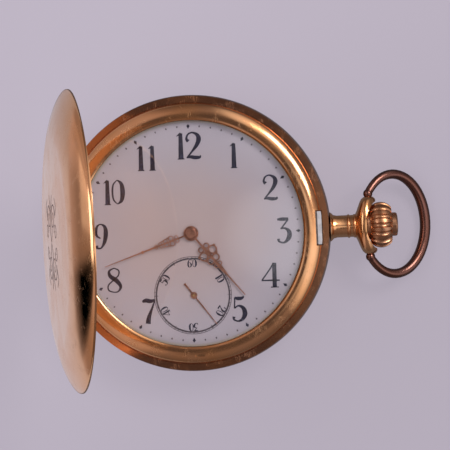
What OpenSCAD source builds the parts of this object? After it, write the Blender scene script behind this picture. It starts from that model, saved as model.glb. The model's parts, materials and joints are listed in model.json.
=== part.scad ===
// Full hunter pocket watch, open, lying on its back cover.
// Millimetres. The origin is the centre of the back cover's flat outer face, +Z looks up at the
// dial's reader, +X runs out along the pendant at 3 o'clock and +Y runs to 12 o'clock.

/* [Case] */
// Outside diameter of the case at the middle of its band
case_d = 51; // [50.8:0.1:53]
// Height of the case band between the rims of the two covers
band_h = 5.5; // [5.5:0.1:6.5]
// Depth of the back cover, from its rim to its flat face
cover_depth = 4.2; // [4.2:0.1:5]
// Depth of the front cover, from its rim to the middle of its crowned face
front_cover_depth = 3.5; // [3.4:0.1:4.5]
// Height by which the front cover's face is crowned over its shoulder
front_cover_crown = 0.4; // [0.1:0.1:0.6]
// Diameter of the front cover's crowned face, where its sloping shoulder begins
front_cover_flat_d = 34; // [28:1:36]
// Wall of the two outer covers
cover_wall = 0.5; // [0.35:0.05:0.6]
// Diameter of the back cover's flat face, on which the watch lies
cover_flat_d = 35; // [30:1:38]
// Angle at which the front cover stands open
lid_open = 71; // [0:1:80]
// Length of each outer cover's hinge
hinge_len = 9; // [7:0.5:10]
// Length of the inner cover's hinge
inner_hinge_len = 7; // [5:0.5:8]
// Distance from the side of the case in to the foot of the bezel
bezel_inset = 1.65; // [1.6:0.05:1.75]
// Width of the bezel, from its foot to the clear opening over the dial
bezel_width = 3.25; // [3.2:0.05:3.8]
// Height of the crystal's dome above its own edge
crystal_rise = 1.5; // [1.3:0.1:1.7]

/* [Pendant, crown and bow] */
// Diameter of the pendant at its waist
pendant_waist_d = 4.05; // [3.8:0.05:5]
// Distance from the side of the case to the axis on which the bow swings
bow_axis_out = 7; // [6.8:0.1:8.5]
// Width over the outside of the bow
bow_width = 20.4; // [18:0.1:24]
// Distance from the bow's axis to the outer edge of its loop
bow_reach = 13.1; // [12:0.1:13.1]
// Thickness of the bow wire at the far end of its loop
bow_wire_d = 2.0; // [1.6:0.05:2.4]
// Angle of the bow below the level of the case
bow_tilt = 28.5; // [0:0.5:28.5]
// Diameter of the crown over its flutes
crown_d = 8.4; // [7:0.1:8.6]
// Length of the crown's fluted barrel
crown_len = 3.85; // [3.4:0.05:4.5]
// Number of flutes round the crown
crown_flutes = 16; // [12:1:20]

/* [Dial and hands] */
// Thickness of the enamel dial
dial_t = 0.6; // [0.5:0.05:0.6]
// Length of the minute hand from its hub
minute_len = 16.9; // [15:0.1:18.5]
// Length of the hour hand from its hub
hour_len = 14.9; // [11:0.1:15.5]
// Length of the seconds hand from its hub
seconds_len = 6.8; // [5:0.1:7]
// Hours shown by the hour hand, as a decimal
time_hours = 4.698; // [0:0.001:11.999]
// Seconds shown by the seconds hand
time_seconds = 23.9; // [0:0.1:59.9]

/* [Movement] */
// Thickness of the mainplate
plate_t = 1.3; // [1.3:0.05:1.4]
// Diameter of the balance over its rim
balance_d = 14.4; // [12:0.1:14.8]
// Coils in the hairspring
hairspring_coils = 7; // [5:1:9]
// Coils in the mainspring
mainspring_coils = 9; // [7:1:11]

/* [Hidden] */
$fn = 64;

// Finishes of the real pieces
gold = [0.80, 0.58, 0.36];
rose_gold = [0.72, 0.42, 0.30];
steel = [0.62, 0.62, 0.64];
blued = [0.16, 0.22, 0.42];
gilt = [0.84, 0.70, 0.42];
enamel = [0.90, 0.89, 0.91];
ruby = [0.70, 0.12, 0.22];

// Play left between pieces: seams, running shafts, pivots in jewels and sliding fits
seam = 0.05;
run_gap = 0.03;
pivot_gap = 0.02;
free_gap = 0.1;

// Levels of the case, from the table up
case_r = case_d / 2;
front_rim_r = case_r - 0.55;
back_rim_r = case_r - 0.3;
shelf_t = 0.3;
front_rim_straight = 0.25;
back_rim_straight = 0.8;
front_slope = 1.35;
back_rim_z = cover_depth;
band_z0 = back_rim_z + seam;
band_z1 = band_z0 + band_h;
front_rim_z = band_z1 + seam;
stem_z = band_z0 + band_h / 2 - 0.2;
ledge_z = band_z1 - 0.35;
neck_z = band_z0 - 0.65;
neck_top_z = ledge_z + 1;

// Rings of the band, from the movement's seat outwards; the springs' noses stand in the bezel's notches
bezel_foot_r = case_r - bezel_inset;
bezel_r = bezel_foot_r - 0.85;
seat_r = bezel_r - 2.0;
bore_r = bezel_r - 1.3;
neck_r = bezel_r - 0.5;
cavity_r = bezel_r - 0.1;
back_neck_r = bezel_r + 0.1;
groove_r = bezel_r + 1.0;
catch_r = groove_r - 0.05;
lip_r = groove_r + 0.05;
opening_r = bezel_foot_r - bezel_width;
crystal_r = opening_r + 0.68;
crystal_top_z = ledge_z + 1.22;
crystal_t = 0.7;
nick_w = 1.7;

// The movement is drawn for a seat of this radius and scaled to the case's own seat
drawn_seat_r = 21.0;
calibre = seat_r / drawn_seat_r;
shelf_z = stem_z + plate_t * calibre;

// Hinges at 9 o'clock, each of five knuckles on one pin
hinge_x = -(case_r - 0.2);
front_hinge_z = front_rim_z + seam;
back_hinge_z = back_rim_z - seam;
knuckle_r = 0.65;
pin_r = 0.3;
inner_hinge_x = -(case_r - 1.6);
inner_hinge_z = neck_z - 0.1;
inner_knuckle_r = 0.4;
inner_pin_r = 0.2;
inner_r = case_r - 2.1;
inner_rim_z = neck_z - seam;
inner_wall = 0.35;
inner_clear = 0.45;
cover_knuckles = [0, 2, 4];
band_knuckles = [1, 3];

// Springs inside the band: where each one's nose and screw stand, half its nose's width, its levels
lock_at = 0;
lock_screw_at = 34;
lock_half = 3.0;
lift_at = 166;
lift_screw_at = 212;
lift_half = 1.5;
nose_swing = 0.2;
slot_play = 0.2;
spring_out_r = cavity_r - 0.15;
spring_in_r = spring_out_r - 0.6;
spring_z0 = stem_z - 1.7;
spring_z1 = shelf_z - shelf_t - free_gap;
spring_screw_z = stem_z - 0.5;
nose_top = band_z1 + 0.45;
nose_drop = 0.18;

// Pendant, crown and stem along +X
bow_axis_x = case_r + bow_axis_out;
band_bore_r = 1.6;
neck_tube_r = 1.2;
stem_r = 0.6;
crown_x = bow_axis_x + 0.2;
push_travel = 0.6;
ear_y0 = crown_d / 2 + 0.25;
ear_y1 = ear_y0 + 0.97;
ear_pin_r = 0.5;
ball_r = 0.86;
ball_y = ear_y1 + 0.35;
collar_r = 2.6;
collar_len = 0.55;
// The crown's barrel bulges along an arc from end to end
barrel_bulge = 0.95;
barrel_arc_r = (pow(crown_len / 2, 2) + pow(barrel_bulge, 2)) / (2 * barrel_bulge);
barrel_arc_at = [crown_d / 2 - barrel_arc_r, crown_x + crown_len / 2];
barrel_half = asin(crown_len / 2 / barrel_arc_r);

// Levels of the movement, measured from the stem's axis, which is the mainplate's under face
bridge_z = [-3.9, -2.7];
ratchet_z = [-4.4, -4.0];
barrel_z = [-1.85, 0.5];
barrel_teeth_z = [-0.6, 0.4];
center_z = [-2.45, -2.2];
center_pinion_z = [-0.6, 0.4];
third_pinion_z = [-2.55, -2.05];
third_z = [-1.25, -1.0];
fourth_pinion_z = [-1.4, -0.85];
fourth_z = [-1.85, -1.6];
escape_pinion_z = [-1.95, -1.5];
escape_z = [-0.45, -0.2];
pallet_cock_z = [-1.25, -0.8];
balance_z = [-1.95, -1.45];
hairspring_z = [-2.45, -2.25];
roller_z = [-0.72, -0.52];
plate_rim_z = 2.2;
motion_z = [plate_t + 0.08, plate_t + 0.33];
motion_pinion_z = [plate_t + 0.36, plate_t + 0.78];
dial_z = [plate_rim_z, plate_rim_z + dial_t];
seconds_hand_z = [dial_z[1] + 0.12, dial_z[1] + 0.24];
hour_hand_z = [dial_z[1] + 0.35, dial_z[1] + 0.5];
minute_hand_z = [dial_z[1] + 0.65, dial_z[1] + 0.8];
plate_r = drawn_seat_r - 0.1;
flange_r = drawn_seat_r + 0.6;
bridge_r = plate_r - 0.5;

// Teeth, and modules of each pair of wheel and pinion
going_module = 2 * norm([4.5, 9.0]) / (72 + 12);
center_module = 0.16;
third_module = 0.14;
fourth_module = 0.13;
minute_module = 0.15;
hour_module = 0.144;
escape_r = 3.4;
crown_wheel_teeth = 46;
ratchet_teeth = 76;

// Places of the arbors, seen from the dial
center_at = [0, 0];
barrel_at = [4.5, 9.0];
third_at = pair_place(center_at, -62.4, center_module, 80, 10);
fourth_at = [0, -11.3];
escape_at = [-4.7, -9.6];
balance_at = [-11.2, -4.5];
line_angle = atan2(balance_at[1] - escape_at[1], balance_at[0] - escape_at[0]);
pallet_at = escape_at + 3.93 * heading(line_angle);
crown_wheel_at = [12.5, 0];
minute_wheel_at = [3.6, 0];
setting_wheel_at = [8.1, 0];
click_at = [-5.2, 12.6];
crown_ratchet_module = 2 * norm(crown_wheel_at - barrel_at) / (crown_wheel_teeth + ratchet_teeth);

barrel_feet = [[-8.5, 9.5], [-3.2, 17.2], [16.4, 8.6]];
train_feet = [[5.8, -16.4], [10.6, -9.8]];
cock_foot = [-7.5, -16.3];
pallet_feet = [for (side = [-1, 1]) pallet_at + 3.2 * side * heading(line_angle + 90)];
case_screw_at = [[14.2, -14.6], [-18.2, 9.2]];
cap_feet = [[17.3, -3.3], [18.3, 1.8]];
click_spring_at = [-9.6, 12.0];
stud_at = balance_at + 3.75 * heading(direction(balance_at, cock_foot) + 20);
lever_at = [17.4, 5.2];
lever_tip = [18.4, 0.2];
yoke_at = [8.6, -6.4];
yoke_tip = [13.2, -2.2];
dial_feet = [62, 150, 305];
dial_foot_r = 18.4;

// Shares of the pitch that a tooth takes
wheel_share = 0.44;
pinion_share = 0.34;

// Turns of the hands, clockwise from 12
minute_turn = 360 * (time_hours - floor(time_hours));
hour_turn = 30 * time_hours;
seconds_turn = 6 * time_seconds;

// Turns that bring each wheel's teeth into the one before it
center_pinion_turn = 0;
barrel_turn = mesh_turn(center_at, barrel_at, 12, center_pinion_turn, 72);
third_turn = mesh_turn(center_at, third_at, 80, 0, 10);
fourth_turn = mesh_turn(third_at, fourth_at, 75, 0, 10);
escape_turn = mesh_turn(fourth_at, escape_at, 70, 0, 7);
crown_wheel_turn = mesh_turn(barrel_at, crown_wheel_at, ratchet_teeth, 0, crown_wheel_teeth);
minute_wheel_turn = mesh_turn(center_at, minute_wheel_at, 12, 0, 36);
hour_wheel_turn = mesh_turn(minute_wheel_at, center_at, 10, 0, 40);
setting_turn = mesh_turn(minute_wheel_at, setting_wheel_at, 36, minute_wheel_turn, 24);
stone_turns = [-30, 30];

// Where the arbors start under the bridges, and where their pivots end
bridge_face = bridge_z[1] + 0.05;
pivot_low = bridge_z[1] - 0.5;
pivot_high = 0.45;

// Radii of the arbors
arbor_r = 0.3;
pivot_r = 0.13;
jewel_r = 0.75;
center_arbor_r = 0.5;
cannon_bore_r = 0.35;
hub_hole_r = 1.15;
crown_hub_r = 3.05;
lever_z = [plate_t + 0.08, plate_t + 0.35];
stem_x0 = 14.9;

// Direction on the plan at an angle from +X
function heading(a) = [cos(a), sin(a)];
// Place of a wheel that meshes with the one at p, along direction a
function pair_place(p, a, m, teeth_a, teeth_b) = p + m * (teeth_a + teeth_b) / 2 * heading(a);
function direction(p, q) = atan2(q[1] - p[1], q[0] - p[0]);
function mid(z) = (z[0] + z[1]) / 2;
// Turn of the second wheel that puts its gaps on the first wheel's teeth along the line p to q
function mesh_turn(p, q, teeth_p, turn_p, teeth_q) =
    let (a = direction(p, q)) a + 180 - (turn_p - a) * teeth_p / teeth_q - 180 / teeth_q;
// Outline of a toothed wheel, where share is a tooth's part of the pitch
function teeth_points(n, root, pitch, tip, share, turn) = [
    for (i = [0:n - 1], p = [
        [root, -0.55 * share], [pitch, -0.5 * share], [tip, -0.15 * share],
        [tip, 0.15 * share], [pitch, 0.5 * share], [root, 0.55 * share]
    ]) p[0] * heading(turn + (i + p[1]) * 360 / n)
];
// Shoulder of a cover, from its flat down to its straight rim: a quarter of an ellipse where slope is 1,
// and straighter and more sloping from its start where slope is larger
function dome(r, flat, h, straight, n, slope = 1) = [for (i = [0:n]) let (a = 90 * i / n)
    [flat + (r - flat) * pow(sin(a), slope), straight + (h - straight) * pow(cos(a), slope)]];
// Points of an arc
function arc(c, r, a0, a1, n) = [for (i = [0:n]) c + r * heading(a0 + (a1 - a0) * i / n)];
function reversed(v) = [for (i = [len(v) - 1:-1:0]) v[i]];

module turned(points) { rotate_extrude($fn = 180) polygon(points); }
module disc(r, z) { translate([0, 0, z[0]]) cylinder(r = r, h = z[1] - z[0]); }
module disc_fine(r, z) { translate([0, 0, z[0]]) cylinder(r = r, h = z[1] - z[0], $fn = 180); }
module ring(r_out, r_in, z) {
    turned([[r_in, z[0]], [r_out, z[0]], [r_out, z[1]], [r_in, z[1]]]);
}
module slab(z) { translate([0, 0, z[0]]) linear_extrude(z[1] - z[0]) children(); }
module at(p) { translate([p[0], p[1], 0]) children(); }
// Turns a piece drawn along +Z to lie along +X on the stem's axis
module along_x() { translate([0, 0, stem_z]) rotate([0, 90, 0]) children(); }
module in_movement() { translate([0, 0, stem_z]) scale(calibre) children(); }
// The same for a piece that lies round the stem
module round_stem() { in_movement() rotate([0, 90, 0]) children(); }

// Cylinders on a hinge axis, over the given fifths of the hinge's length
module knuckles(x, z, r, which, gap, len = hinge_len) {
    for (k = which) translate([x, (k / 5 - 0.5) * len + gap / 2, z])
        rotate([-90, 0, 0]) cylinder(r = r, h = len / 5 - gap);
}
module hinge_rod(x, z, r, len = hinge_len) {
    translate([x, -len / 2, z]) rotate([-90, 0, 0]) cylinder(r = r, h = len);
}

// Half section of a cover's face: crowned out to radius flat, then a shoulder down to its straight rim
function face(r, flat, h, straight, crown) = concat(
    [for (i = [0:6]) [flat * i / 6, h - crown * pow(i / 6, 2)]],
    [for (p = dome(r, flat, h - crown, straight, 24, front_slope)) if (p[0] > flat + 0.02) p]);
// Domed shell with its rim on z = 0 and its face up
module cover_shell(r, flat, depth, straight, wall, crown = 0) {
    outside = crown > 0 ? face(r, flat, depth, straight, crown)
        : concat([[0, depth]], dome(r, flat, depth, straight, 18));
    inside = crown > 0 ? face(r - wall, flat - wall / 2, depth - wall, straight, crown)
        : concat([[0, depth - wall]], dome(r - wall, flat - wall / 2, depth - wall, straight, 18));
    turned(concat(outside, [[r, 0], [r - wall, 0]], reversed(inside)));
}

module case_band() {
    bulge = case_r - back_rim_r + 0.05;
    arc_r = (pow(band_h / 2, 2) + pow(bulge, 2)) / (2 * bulge);
    half = asin(band_h / 2 / arc_r);
    color(gold) difference() {
        union() {
            turned(concat(
                [[neck_r - 0.1, neck_z], [back_neck_r, neck_z], [back_neck_r, band_z0]],
                arc([case_r - arc_r, (band_z0 + band_z1) / 2], arc_r, -half, half, 12),
                [[groove_r, band_z1], [groove_r, ledge_z], [neck_r, ledge_z], [neck_r, neck_top_z],
                 [bore_r, neck_top_z], [bore_r, shelf_z], [seat_r, shelf_z], [seat_r, shelf_z - shelf_t],
                 [cavity_r, shelf_z - shelf_t], [cavity_r, band_z0 + 0.55], [neck_r - 0.1, band_z0 + 0.55]]));
            knuckles(hinge_x, front_hinge_z, knuckle_r, band_knuckles, free_gap);
            knuckles(hinge_x, back_hinge_z, knuckle_r, band_knuckles, free_gap);
            knuckles(inner_hinge_x, inner_hinge_z, inner_knuckle_r, band_knuckles, free_gap,
                inner_hinge_len);
            for (k = band_knuckles)
                translate([inner_hinge_x - inner_knuckle_r,
                           (k / 5 - 0.5) * inner_hinge_len + free_gap / 2, inner_hinge_z])
                    cube([2 * inner_knuckle_r, inner_hinge_len / 5 - free_gap, band_z0 - inner_hinge_z + 0.1]);
        }
        knuckles(hinge_x, front_hinge_z, knuckle_r + free_gap, cover_knuckles, 0);
        knuckles(hinge_x, back_hinge_z, knuckle_r + free_gap, cover_knuckles, 0);
        hinge_rod(hinge_x, front_hinge_z, pin_r);
        hinge_rod(hinge_x, back_hinge_z, pin_r);
        hinge_rod(inner_hinge_x, inner_hinge_z, inner_pin_r, inner_hinge_len);
        along_x() translate([0, 0, cavity_r - 0.5]) cylinder(r = band_bore_r, h = case_r - cavity_r + 1);
        spring_slot(lock_at, lock_half);
        spring_slot(lift_at, lift_half);
    }
}

// The slot in the band's ledge in which a spring's nose stands
module spring_slot(turn, half) {
    rotate([0, 0, turn]) translate([cavity_r - 0.3, -half - slot_play, spring_z0 - free_gap])
        cube([groove_r - cavity_r + 0.3, 2 * (half + slot_play), band_z1 - spring_z0 + 1]);
}
// The open notch in the bezel's foot, in which a nose stands and swings
module nose_notch(turn, half) {
    rotate([0, 0, turn]) translate([bezel_r - nose_swing - 0.02, -half - slot_play, ledge_z - 1])
        cube([2, 2 * (half + slot_play), 4]);
}
// A strip round the inside of the band, from its screw to the nose that stands in the band's slot
module case_spring(turn, half, screw_at) {
    ends = [turn - half * 1.8, screw_at + 4];
    nose_x = [bezel_r + 0.1, catch_r - 0.1];
    difference() {
        union() {
            slab([spring_z0, spring_z1]) polygon(concat(arc([0, 0], spring_out_r, ends[0], ends[1], 30),
                arc([0, 0], spring_in_r, ends[1], ends[0], 30)));
            rotate([0, 0, turn]) {
                translate([spring_out_r - 0.5, -half, spring_z0])
                    cube([nose_x[1] - spring_out_r + 0.5, 2 * half, spring_z1 - spring_z0]);
                // The nose's top slopes outwards, for the cover's lip to ride over
                translate([0, half, 0]) rotate([90, 0, 0]) linear_extrude(2 * half)
                    polygon([[nose_x[0], spring_z0], [nose_x[1], spring_z0],
                             [nose_x[1], nose_top - nose_drop], [nose_x[0], nose_top]]);
            }
        }
        difference() {
            rotate([0, 0, turn]) translate([bezel_r - 1, -half - 1, spring_z0 - 1])
                cube([3, 2 * half + 2, 10]);
            translate([0, 0, spring_z0 - 2]) cylinder(r = catch_r, h = 12, $fn = 180);
        }
        rotate([0, 0, screw_at]) translate([spring_in_r - 1, 0, spring_screw_z]) rotate([0, 90, 0])
            cylinder(r = 0.45, h = 3);
    }
}

module lock_spring() {
    color(steel) difference() {
        case_spring(lock_at, lock_half, lock_screw_at);
        along_x() translate([0, 0, spring_in_r - 1]) cylinder(r = stem_r + slot_play, h = 4);
    }
}
module lift_spring() { color(steel) case_spring(lift_at, lift_half, lift_screw_at); }
module case_spring_screws() {
    color(blued) for (turn = [lock_screw_at, lift_screw_at]) rotate([0, 0, turn])
        translate([0, 0, spring_screw_z]) rotate([0, 90, 0]) {
            translate([0, 0, spring_in_r - 0.35]) cylinder(r = 0.7, h = 0.3);
            translate([0, 0, spring_in_r - 0.1]) cylinder(r = 0.35, h = cavity_r - spring_in_r + 0.1);
        }
}

module front_cover() {
    color(gold) translate([hinge_x, 0, front_hinge_z]) rotate([0, -lid_open, 0])
        translate([-hinge_x, 0, -front_hinge_z]) difference() {
            union() {
                translate([0, 0, front_rim_z]) cover_shell(front_rim_r, front_cover_flat_d / 2,
                    front_cover_depth, front_rim_straight, cover_wall, front_cover_crown);
                ring(front_rim_r - cover_wall / 2, lip_r, [front_rim_z, front_rim_z + 0.35]);
                knuckles(hinge_x, front_hinge_z, knuckle_r, cover_knuckles, free_gap);
            }
            knuckles(hinge_x, front_hinge_z, knuckle_r + free_gap, band_knuckles, 0);
            hinge_rod(hinge_x, front_hinge_z, pin_r + run_gap);
        }
}
module back_cover() {
    color(gold) difference() {
        union() {
            translate([0, 0, back_rim_z]) mirror([0, 0, 1])
                cover_shell(back_rim_r, cover_flat_d / 2, cover_depth, back_rim_straight, cover_wall);
            knuckles(hinge_x, back_hinge_z, knuckle_r, cover_knuckles, free_gap);
        }
        knuckles(hinge_x, back_hinge_z, knuckle_r + free_gap, band_knuckles, 0);
        hinge_rod(hinge_x, back_hinge_z, pin_r + run_gap);
    }
}
module inner_cover() {
    depth = inner_rim_z - cover_wall - inner_clear;
    color(gold) difference() {
        union() {
            translate([0, 0, inner_rim_z]) mirror([0, 0, 1])
                cover_shell(inner_r, cover_flat_d / 2 - 1, depth, 0.3, inner_wall);
            knuckles(inner_hinge_x, inner_hinge_z, inner_knuckle_r, cover_knuckles, free_gap,
                inner_hinge_len);
            for (k = cover_knuckles)
                translate([inner_hinge_x, (k / 5 - 0.5) * inner_hinge_len + free_gap / 2,
                           inner_hinge_z - inner_knuckle_r])
                    cube([-inner_hinge_x - inner_r + inner_wall, inner_hinge_len / 5 - free_gap,
                          inner_knuckle_r]);
        }
        knuckles(inner_hinge_x, inner_hinge_z, inner_knuckle_r + free_gap, band_knuckles, 0,
            inner_hinge_len);
        hinge_rod(inner_hinge_x, inner_hinge_z, inner_pin_r + run_gap, inner_hinge_len);
    }
}

module front_hinge_pin() { color(steel) hinge_rod(hinge_x, front_hinge_z, pin_r); }
module back_hinge_pin() { color(steel) hinge_rod(hinge_x, back_hinge_z, pin_r); }
module inner_hinge_pin() {
    color(steel) hinge_rod(inner_hinge_x, inner_hinge_z, inner_pin_r, inner_hinge_len);
}

module bezel() {
    // The shoulder rises in a quarter ellipse from the ledge to the crest, and a cove falls to the crystal
    crest_r = opening_r + 1.0;
    crest_z = ledge_z + 1.7;
    foot_z = ledge_z + 0.3;
    cove = 0.28;
    shoulder = [for (i = [0:14]) let (a = 90 * i / 14)
        [crest_r + (bezel_foot_r - crest_r) * cos(a), foot_z + (crest_z - foot_z) * sin(a)]];
    inside = [for (i = [1:6]) let (a = 90 * i / 6)
        [crest_r - (crest_r - opening_r) * sin(a), crest_z - cove * (1 - cos(a))]];
    color(gold) difference() {
        turned(concat([[neck_r + seam, ledge_z], [bezel_foot_r, ledge_z]], shoulder, inside,
            [[opening_r, crystal_top_z],
             [crystal_r + seam, crystal_top_z], [crystal_r + seam, ledge_z + 0.55],
             [bore_r - seam, ledge_z + 0.55], [bore_r - seam, neck_top_z + seam],
             [neck_r + seam, neck_top_z + seam]]));
        nose_notch(lock_at, lock_half);
        nose_notch(lift_at, lift_half);
        // Nick for a fingernail at 6 o'clock
        rotate([0, 0, -88]) translate([crest_r + 0.5, -nick_w / 2, crest_z - 0.35])
            cube([0.4, nick_w, 1]);
    }
}
module crystal() {
    // The dome is part of a ball through the crystal's edge
    edge_z = crystal_top_z + 0.3;
    ball = (pow(opening_r, 2) + pow(crystal_rise, 2)) / (2 * crystal_rise);
    centre_z = edge_z + crystal_rise - ball;
    color("azure", 0.35) difference() {
        intersection() {
            translate([0, 0, ledge_z + 0.6]) cylinder(r = crystal_r, h = 4, $fn = 180);
            translate([0, 0, centre_z]) sphere(r = ball, $fn = 400);
        }
        translate([0, 0, centre_z]) sphere(r = ball - crystal_t, $fn = 400);
        ring(crystal_r + 1, opening_r - 0.05, [crystal_top_z, crystal_top_z + 3]);
    }
}

// Sections of the pendant's head: place from the bow's axis, half width, half depth, and squareness
head_form = [
    [-2.9, 1.85, 1.85, 2.0], [-2.5, 2.1, 2.05, 2.0], [-2.2, 2.7, 2.4, 2.1], [-1.9, 3.5, 2.75, 2.2],
    [-1.6, 4.25, 3.0, 2.3], [-1.3, 4.8, 3.15, 2.4], [-0.9, 5.15, 3.2, 2.5], [-0.5, 5.33, 3.15, 2.6],
    [0, 5.42, 2.9, 2.6], [0.5, 5.35, 2.45, 2.5], [0.9, 5.15, 1.95, 2.4], [1.15, 4.95, 1.5, 2.3],
    [1.3, 4.7, 1.0, 2.2]
];
// Flaring head whose two ears hold the bow: a closed skin through the sections
module head() {
    sides = 48;
    last = len(head_form) - 1;
    widen = ear_y1 / 5.42;
    points = [for (f = head_form, j = [0:sides - 1])
        let (c = cos(j * 360 / sides), d = sin(j * 360 / sides))
        [f[2] * sign(d) * pow(abs(d), 2 / f[3]), f[1] * widen * sign(c) * pow(abs(c), 2 / f[3]),
         bow_axis_x + f[0]]];
    skin = [for (i = [0:last - 1], j = [0:sides - 1]) let (k = (j + 1) % sides)
        [i * sides + j, i * sides + k, (i + 1) * sides + k, (i + 1) * sides + j]];
    caps = [[for (j = [sides - 1:-1:0]) j], [for (j = [0:sides - 1]) last * sides + j]];
    polyhedron(points = points, faces = concat(skin, caps), convexity = 4);
}
module pendant() {
    waist_r = pendant_waist_d / 2;
    floor_x = crown_x - push_travel - free_gap;
    // The pocket follows the crown's barrel as it stands when pressed
    pocket_gap = 0.15;
    pocket = arc(barrel_arc_at - [0, push_travel], barrel_arc_r + pocket_gap, -barrel_half, 0, 8);
    bead = 0.16;
    color(gold) difference() {
        union() {
            along_x() turned(concat([
                [band_bore_r, case_r - 0.6], [2.6, case_r - 0.6], [2.7, case_r - 0.1], [2.5, case_r + 0.2],
                [waist_r + 0.15, case_r + 0.5], [waist_r, case_r + 1.1]],
                [for (x = [bow_axis_x - 3.75, bow_axis_x - 2.65], i = [-4:4])
                    [waist_r + bead * cos(i * 22.5), x + 1.6 * bead * i / 4]],
                [[waist_r, bow_axis_x - 2.2], [waist_r, floor_x - 0.6], [band_bore_r, floor_x - 0.6]]));
            along_x() head();
        }
        translate([bow_axis_x, -20, stem_z]) rotate([-90, 0, 0]) cylinder(r = ear_pin_r + run_gap, h = 40);
        // Dimples in which the balls of the bow turn
        for (side = [-1, 1]) translate([bow_axis_x, side * ball_y, stem_z]) sphere(r = ball_r + free_gap);
        along_x() {
            turned(concat([[0, pocket[0][1]]], pocket,
                [[crown_d / 2 + pocket_gap, crown_x + crown_len], [0, crown_x + crown_len]]));
            translate([0, 0, floor_x - push_travel]) cylinder(r = collar_r + free_gap, h = 2);
            translate([0, 0, case_r]) cylinder(r = band_bore_r, h = 10);
        }
        translate([0, 0, stem_z - 4]) cylinder(r = case_r, h = 8, $fn = 180);
    }
}
module pendant_sleeve() {
    color(steel) along_x() ring(band_bore_r, neck_tube_r + 0.04,
        [case_r - 1.3, crown_x - collar_len - push_travel - 0.2]);
}

module crown() {
    // The neck tube ends short of the lock spring's nose, and reaches its swung place when pressed
    tube_x = catch_r - 0.1 - nose_swing + 0.05 + push_travel;
    front_x = crown_x + crown_len;
    // The flutes are ring cuts along the barrel's own arc
    flute_r = 0.5;
    color(gold) difference() {
        along_x() turned(concat([
            [0, tube_x], [neck_tube_r, tube_x], [neck_tube_r, crown_x - collar_len],
            [collar_r, crown_x - collar_len], [collar_r, crown_x]],
            arc(barrel_arc_at, barrel_arc_r, -barrel_half, barrel_half, 16), [
            [2.3, front_x + 0.02], [2.15, front_x + 0.15], [2.15, front_x + 0.8], [2.0, front_x + 1.0],
            [1.5, front_x + 1.12], [0, front_x + 1.18]]));
        along_x() {
            translate([0, 0, tube_x - 1]) cylinder(r = stem_r * calibre + 0.04, h = front_x - tube_x);
            for (i = [0:crown_flutes - 1]) rotate([0, 0, i * 360 / crown_flutes])
                translate([barrel_arc_at[0], 0, barrel_arc_at[1]]) rotate([90, 0, 0])
                    rotate([0, 0, -barrel_half - 4]) rotate_extrude(angle = 2 * barrel_half + 8)
                        translate([barrel_arc_r + 0.14, 0]) circle(r = flute_r);
        }
    }
}

module stem() {
    color(steel) difference() {
        union() {
            along_x() translate([0, 0, stem_x0 * calibre])
                cylinder(r = stem_r * calibre, h = crown_x + crown_len - 2.1 - stem_x0 * calibre);
            in_movement() translate([11.6, -0.4, -0.4]) cube([stem_x0 + 0.1 - 11.6, 0.8, 0.8]);
            round_stem() translate([0, 0, 9.9]) cylinder(r = 0.3, h = 2);
        }
        round_stem() ring(stem_r + 1, 0.38, [18.1, 18.7]);
    }
}

module bow() {
    // The wire's centre line is one ellipse, drawn flat along +X from the axis and then tilted
    wire_r = bow_wire_d / 2;
    half_w = bow_width / 2 - wire_r;
    end_turn = 180 - asin(ball_y / half_w);
    centre_u = (bow_reach - wire_r) * -cos(end_turn) / (1 - cos(end_turn));
    reach = bow_reach - wire_r - centre_u;
    end_share = 0.72;
    rings = 44;
    sides = 14;
    // Each end swells into a ball, whose rings are given by their turn round the ball's middle
    ball_rings = 7;
    ball_from = asin(wire_r * end_share / ball_r);
    ball_turns = [for (i = [0:ball_rings]) ball_from + (172 - ball_from) * i / ball_rings];
    // Sections of the wire: turn on the ellipse, radius, and how far on from there they lie
    sections = concat(
        [for (b = reversed(ball_turns)) [-end_turn, ball_r * sin(b), ball_r * cos(b)]],
        [for (i = [1:rings - 1]) let (t = end_turn * (2 * i / rings - 1))
            [t, wire_r * (end_share + (1 - end_share) * cos(t * 90 / end_turn)), 0]],
        [for (b = ball_turns) [end_turn, ball_r * sin(b), -ball_r * cos(b)]]);
    last = len(sections) - 1;
    points = [for (f = sections, j = [0:sides - 1])
        let (t = f[0], a = j * 360 / sides, n = [half_w * cos(t), reach * sin(t)],
             out = n / norm(n), p = [centre_u + reach * cos(t), half_w * sin(t)]
                + out * f[1] * cos(a) + [-out[1], out[0]] * f[2])
        [p[0], p[1], f[1] * sin(a)]];
    skin = [for (i = [0:last - 1], j = [0:sides - 1]) let (k = (j + 1) % sides)
        [i * sides + j, i * sides + k, (i + 1) * sides + k, (i + 1) * sides + j]];
    caps = [[for (j = [sides - 1:-1:0]) j], [for (j = [0:sides - 1]) last * sides + j]];
    color(gold) translate([bow_axis_x, 0, stem_z]) rotate([0, bow_tilt, 0]) {
        polyhedron(points = points, faces = concat(skin, caps), convexity = 4);
        for (side = [-1, 1]) translate([0, side * (ear_y0 + 0.05), 0]) rotate([-90 * side, 0, 0])
            cylinder(r = ear_pin_r, h = ball_y - ear_y0 - 0.05);
    }
}

module dial() {
    color(enamel) in_movement() {
        difference() {
            disc_fine(flange_r - 0.1, dial_z);
            disc(hub_hole_r, [0, 5]);
            at(fourth_at) disc(0.45, [0, 5]);
        }
        for (a = dial_feet) at(dial_foot_r * heading(a)) disc(0.4, [0.5, plate_rim_z + 0.1]);
    }
}

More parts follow.
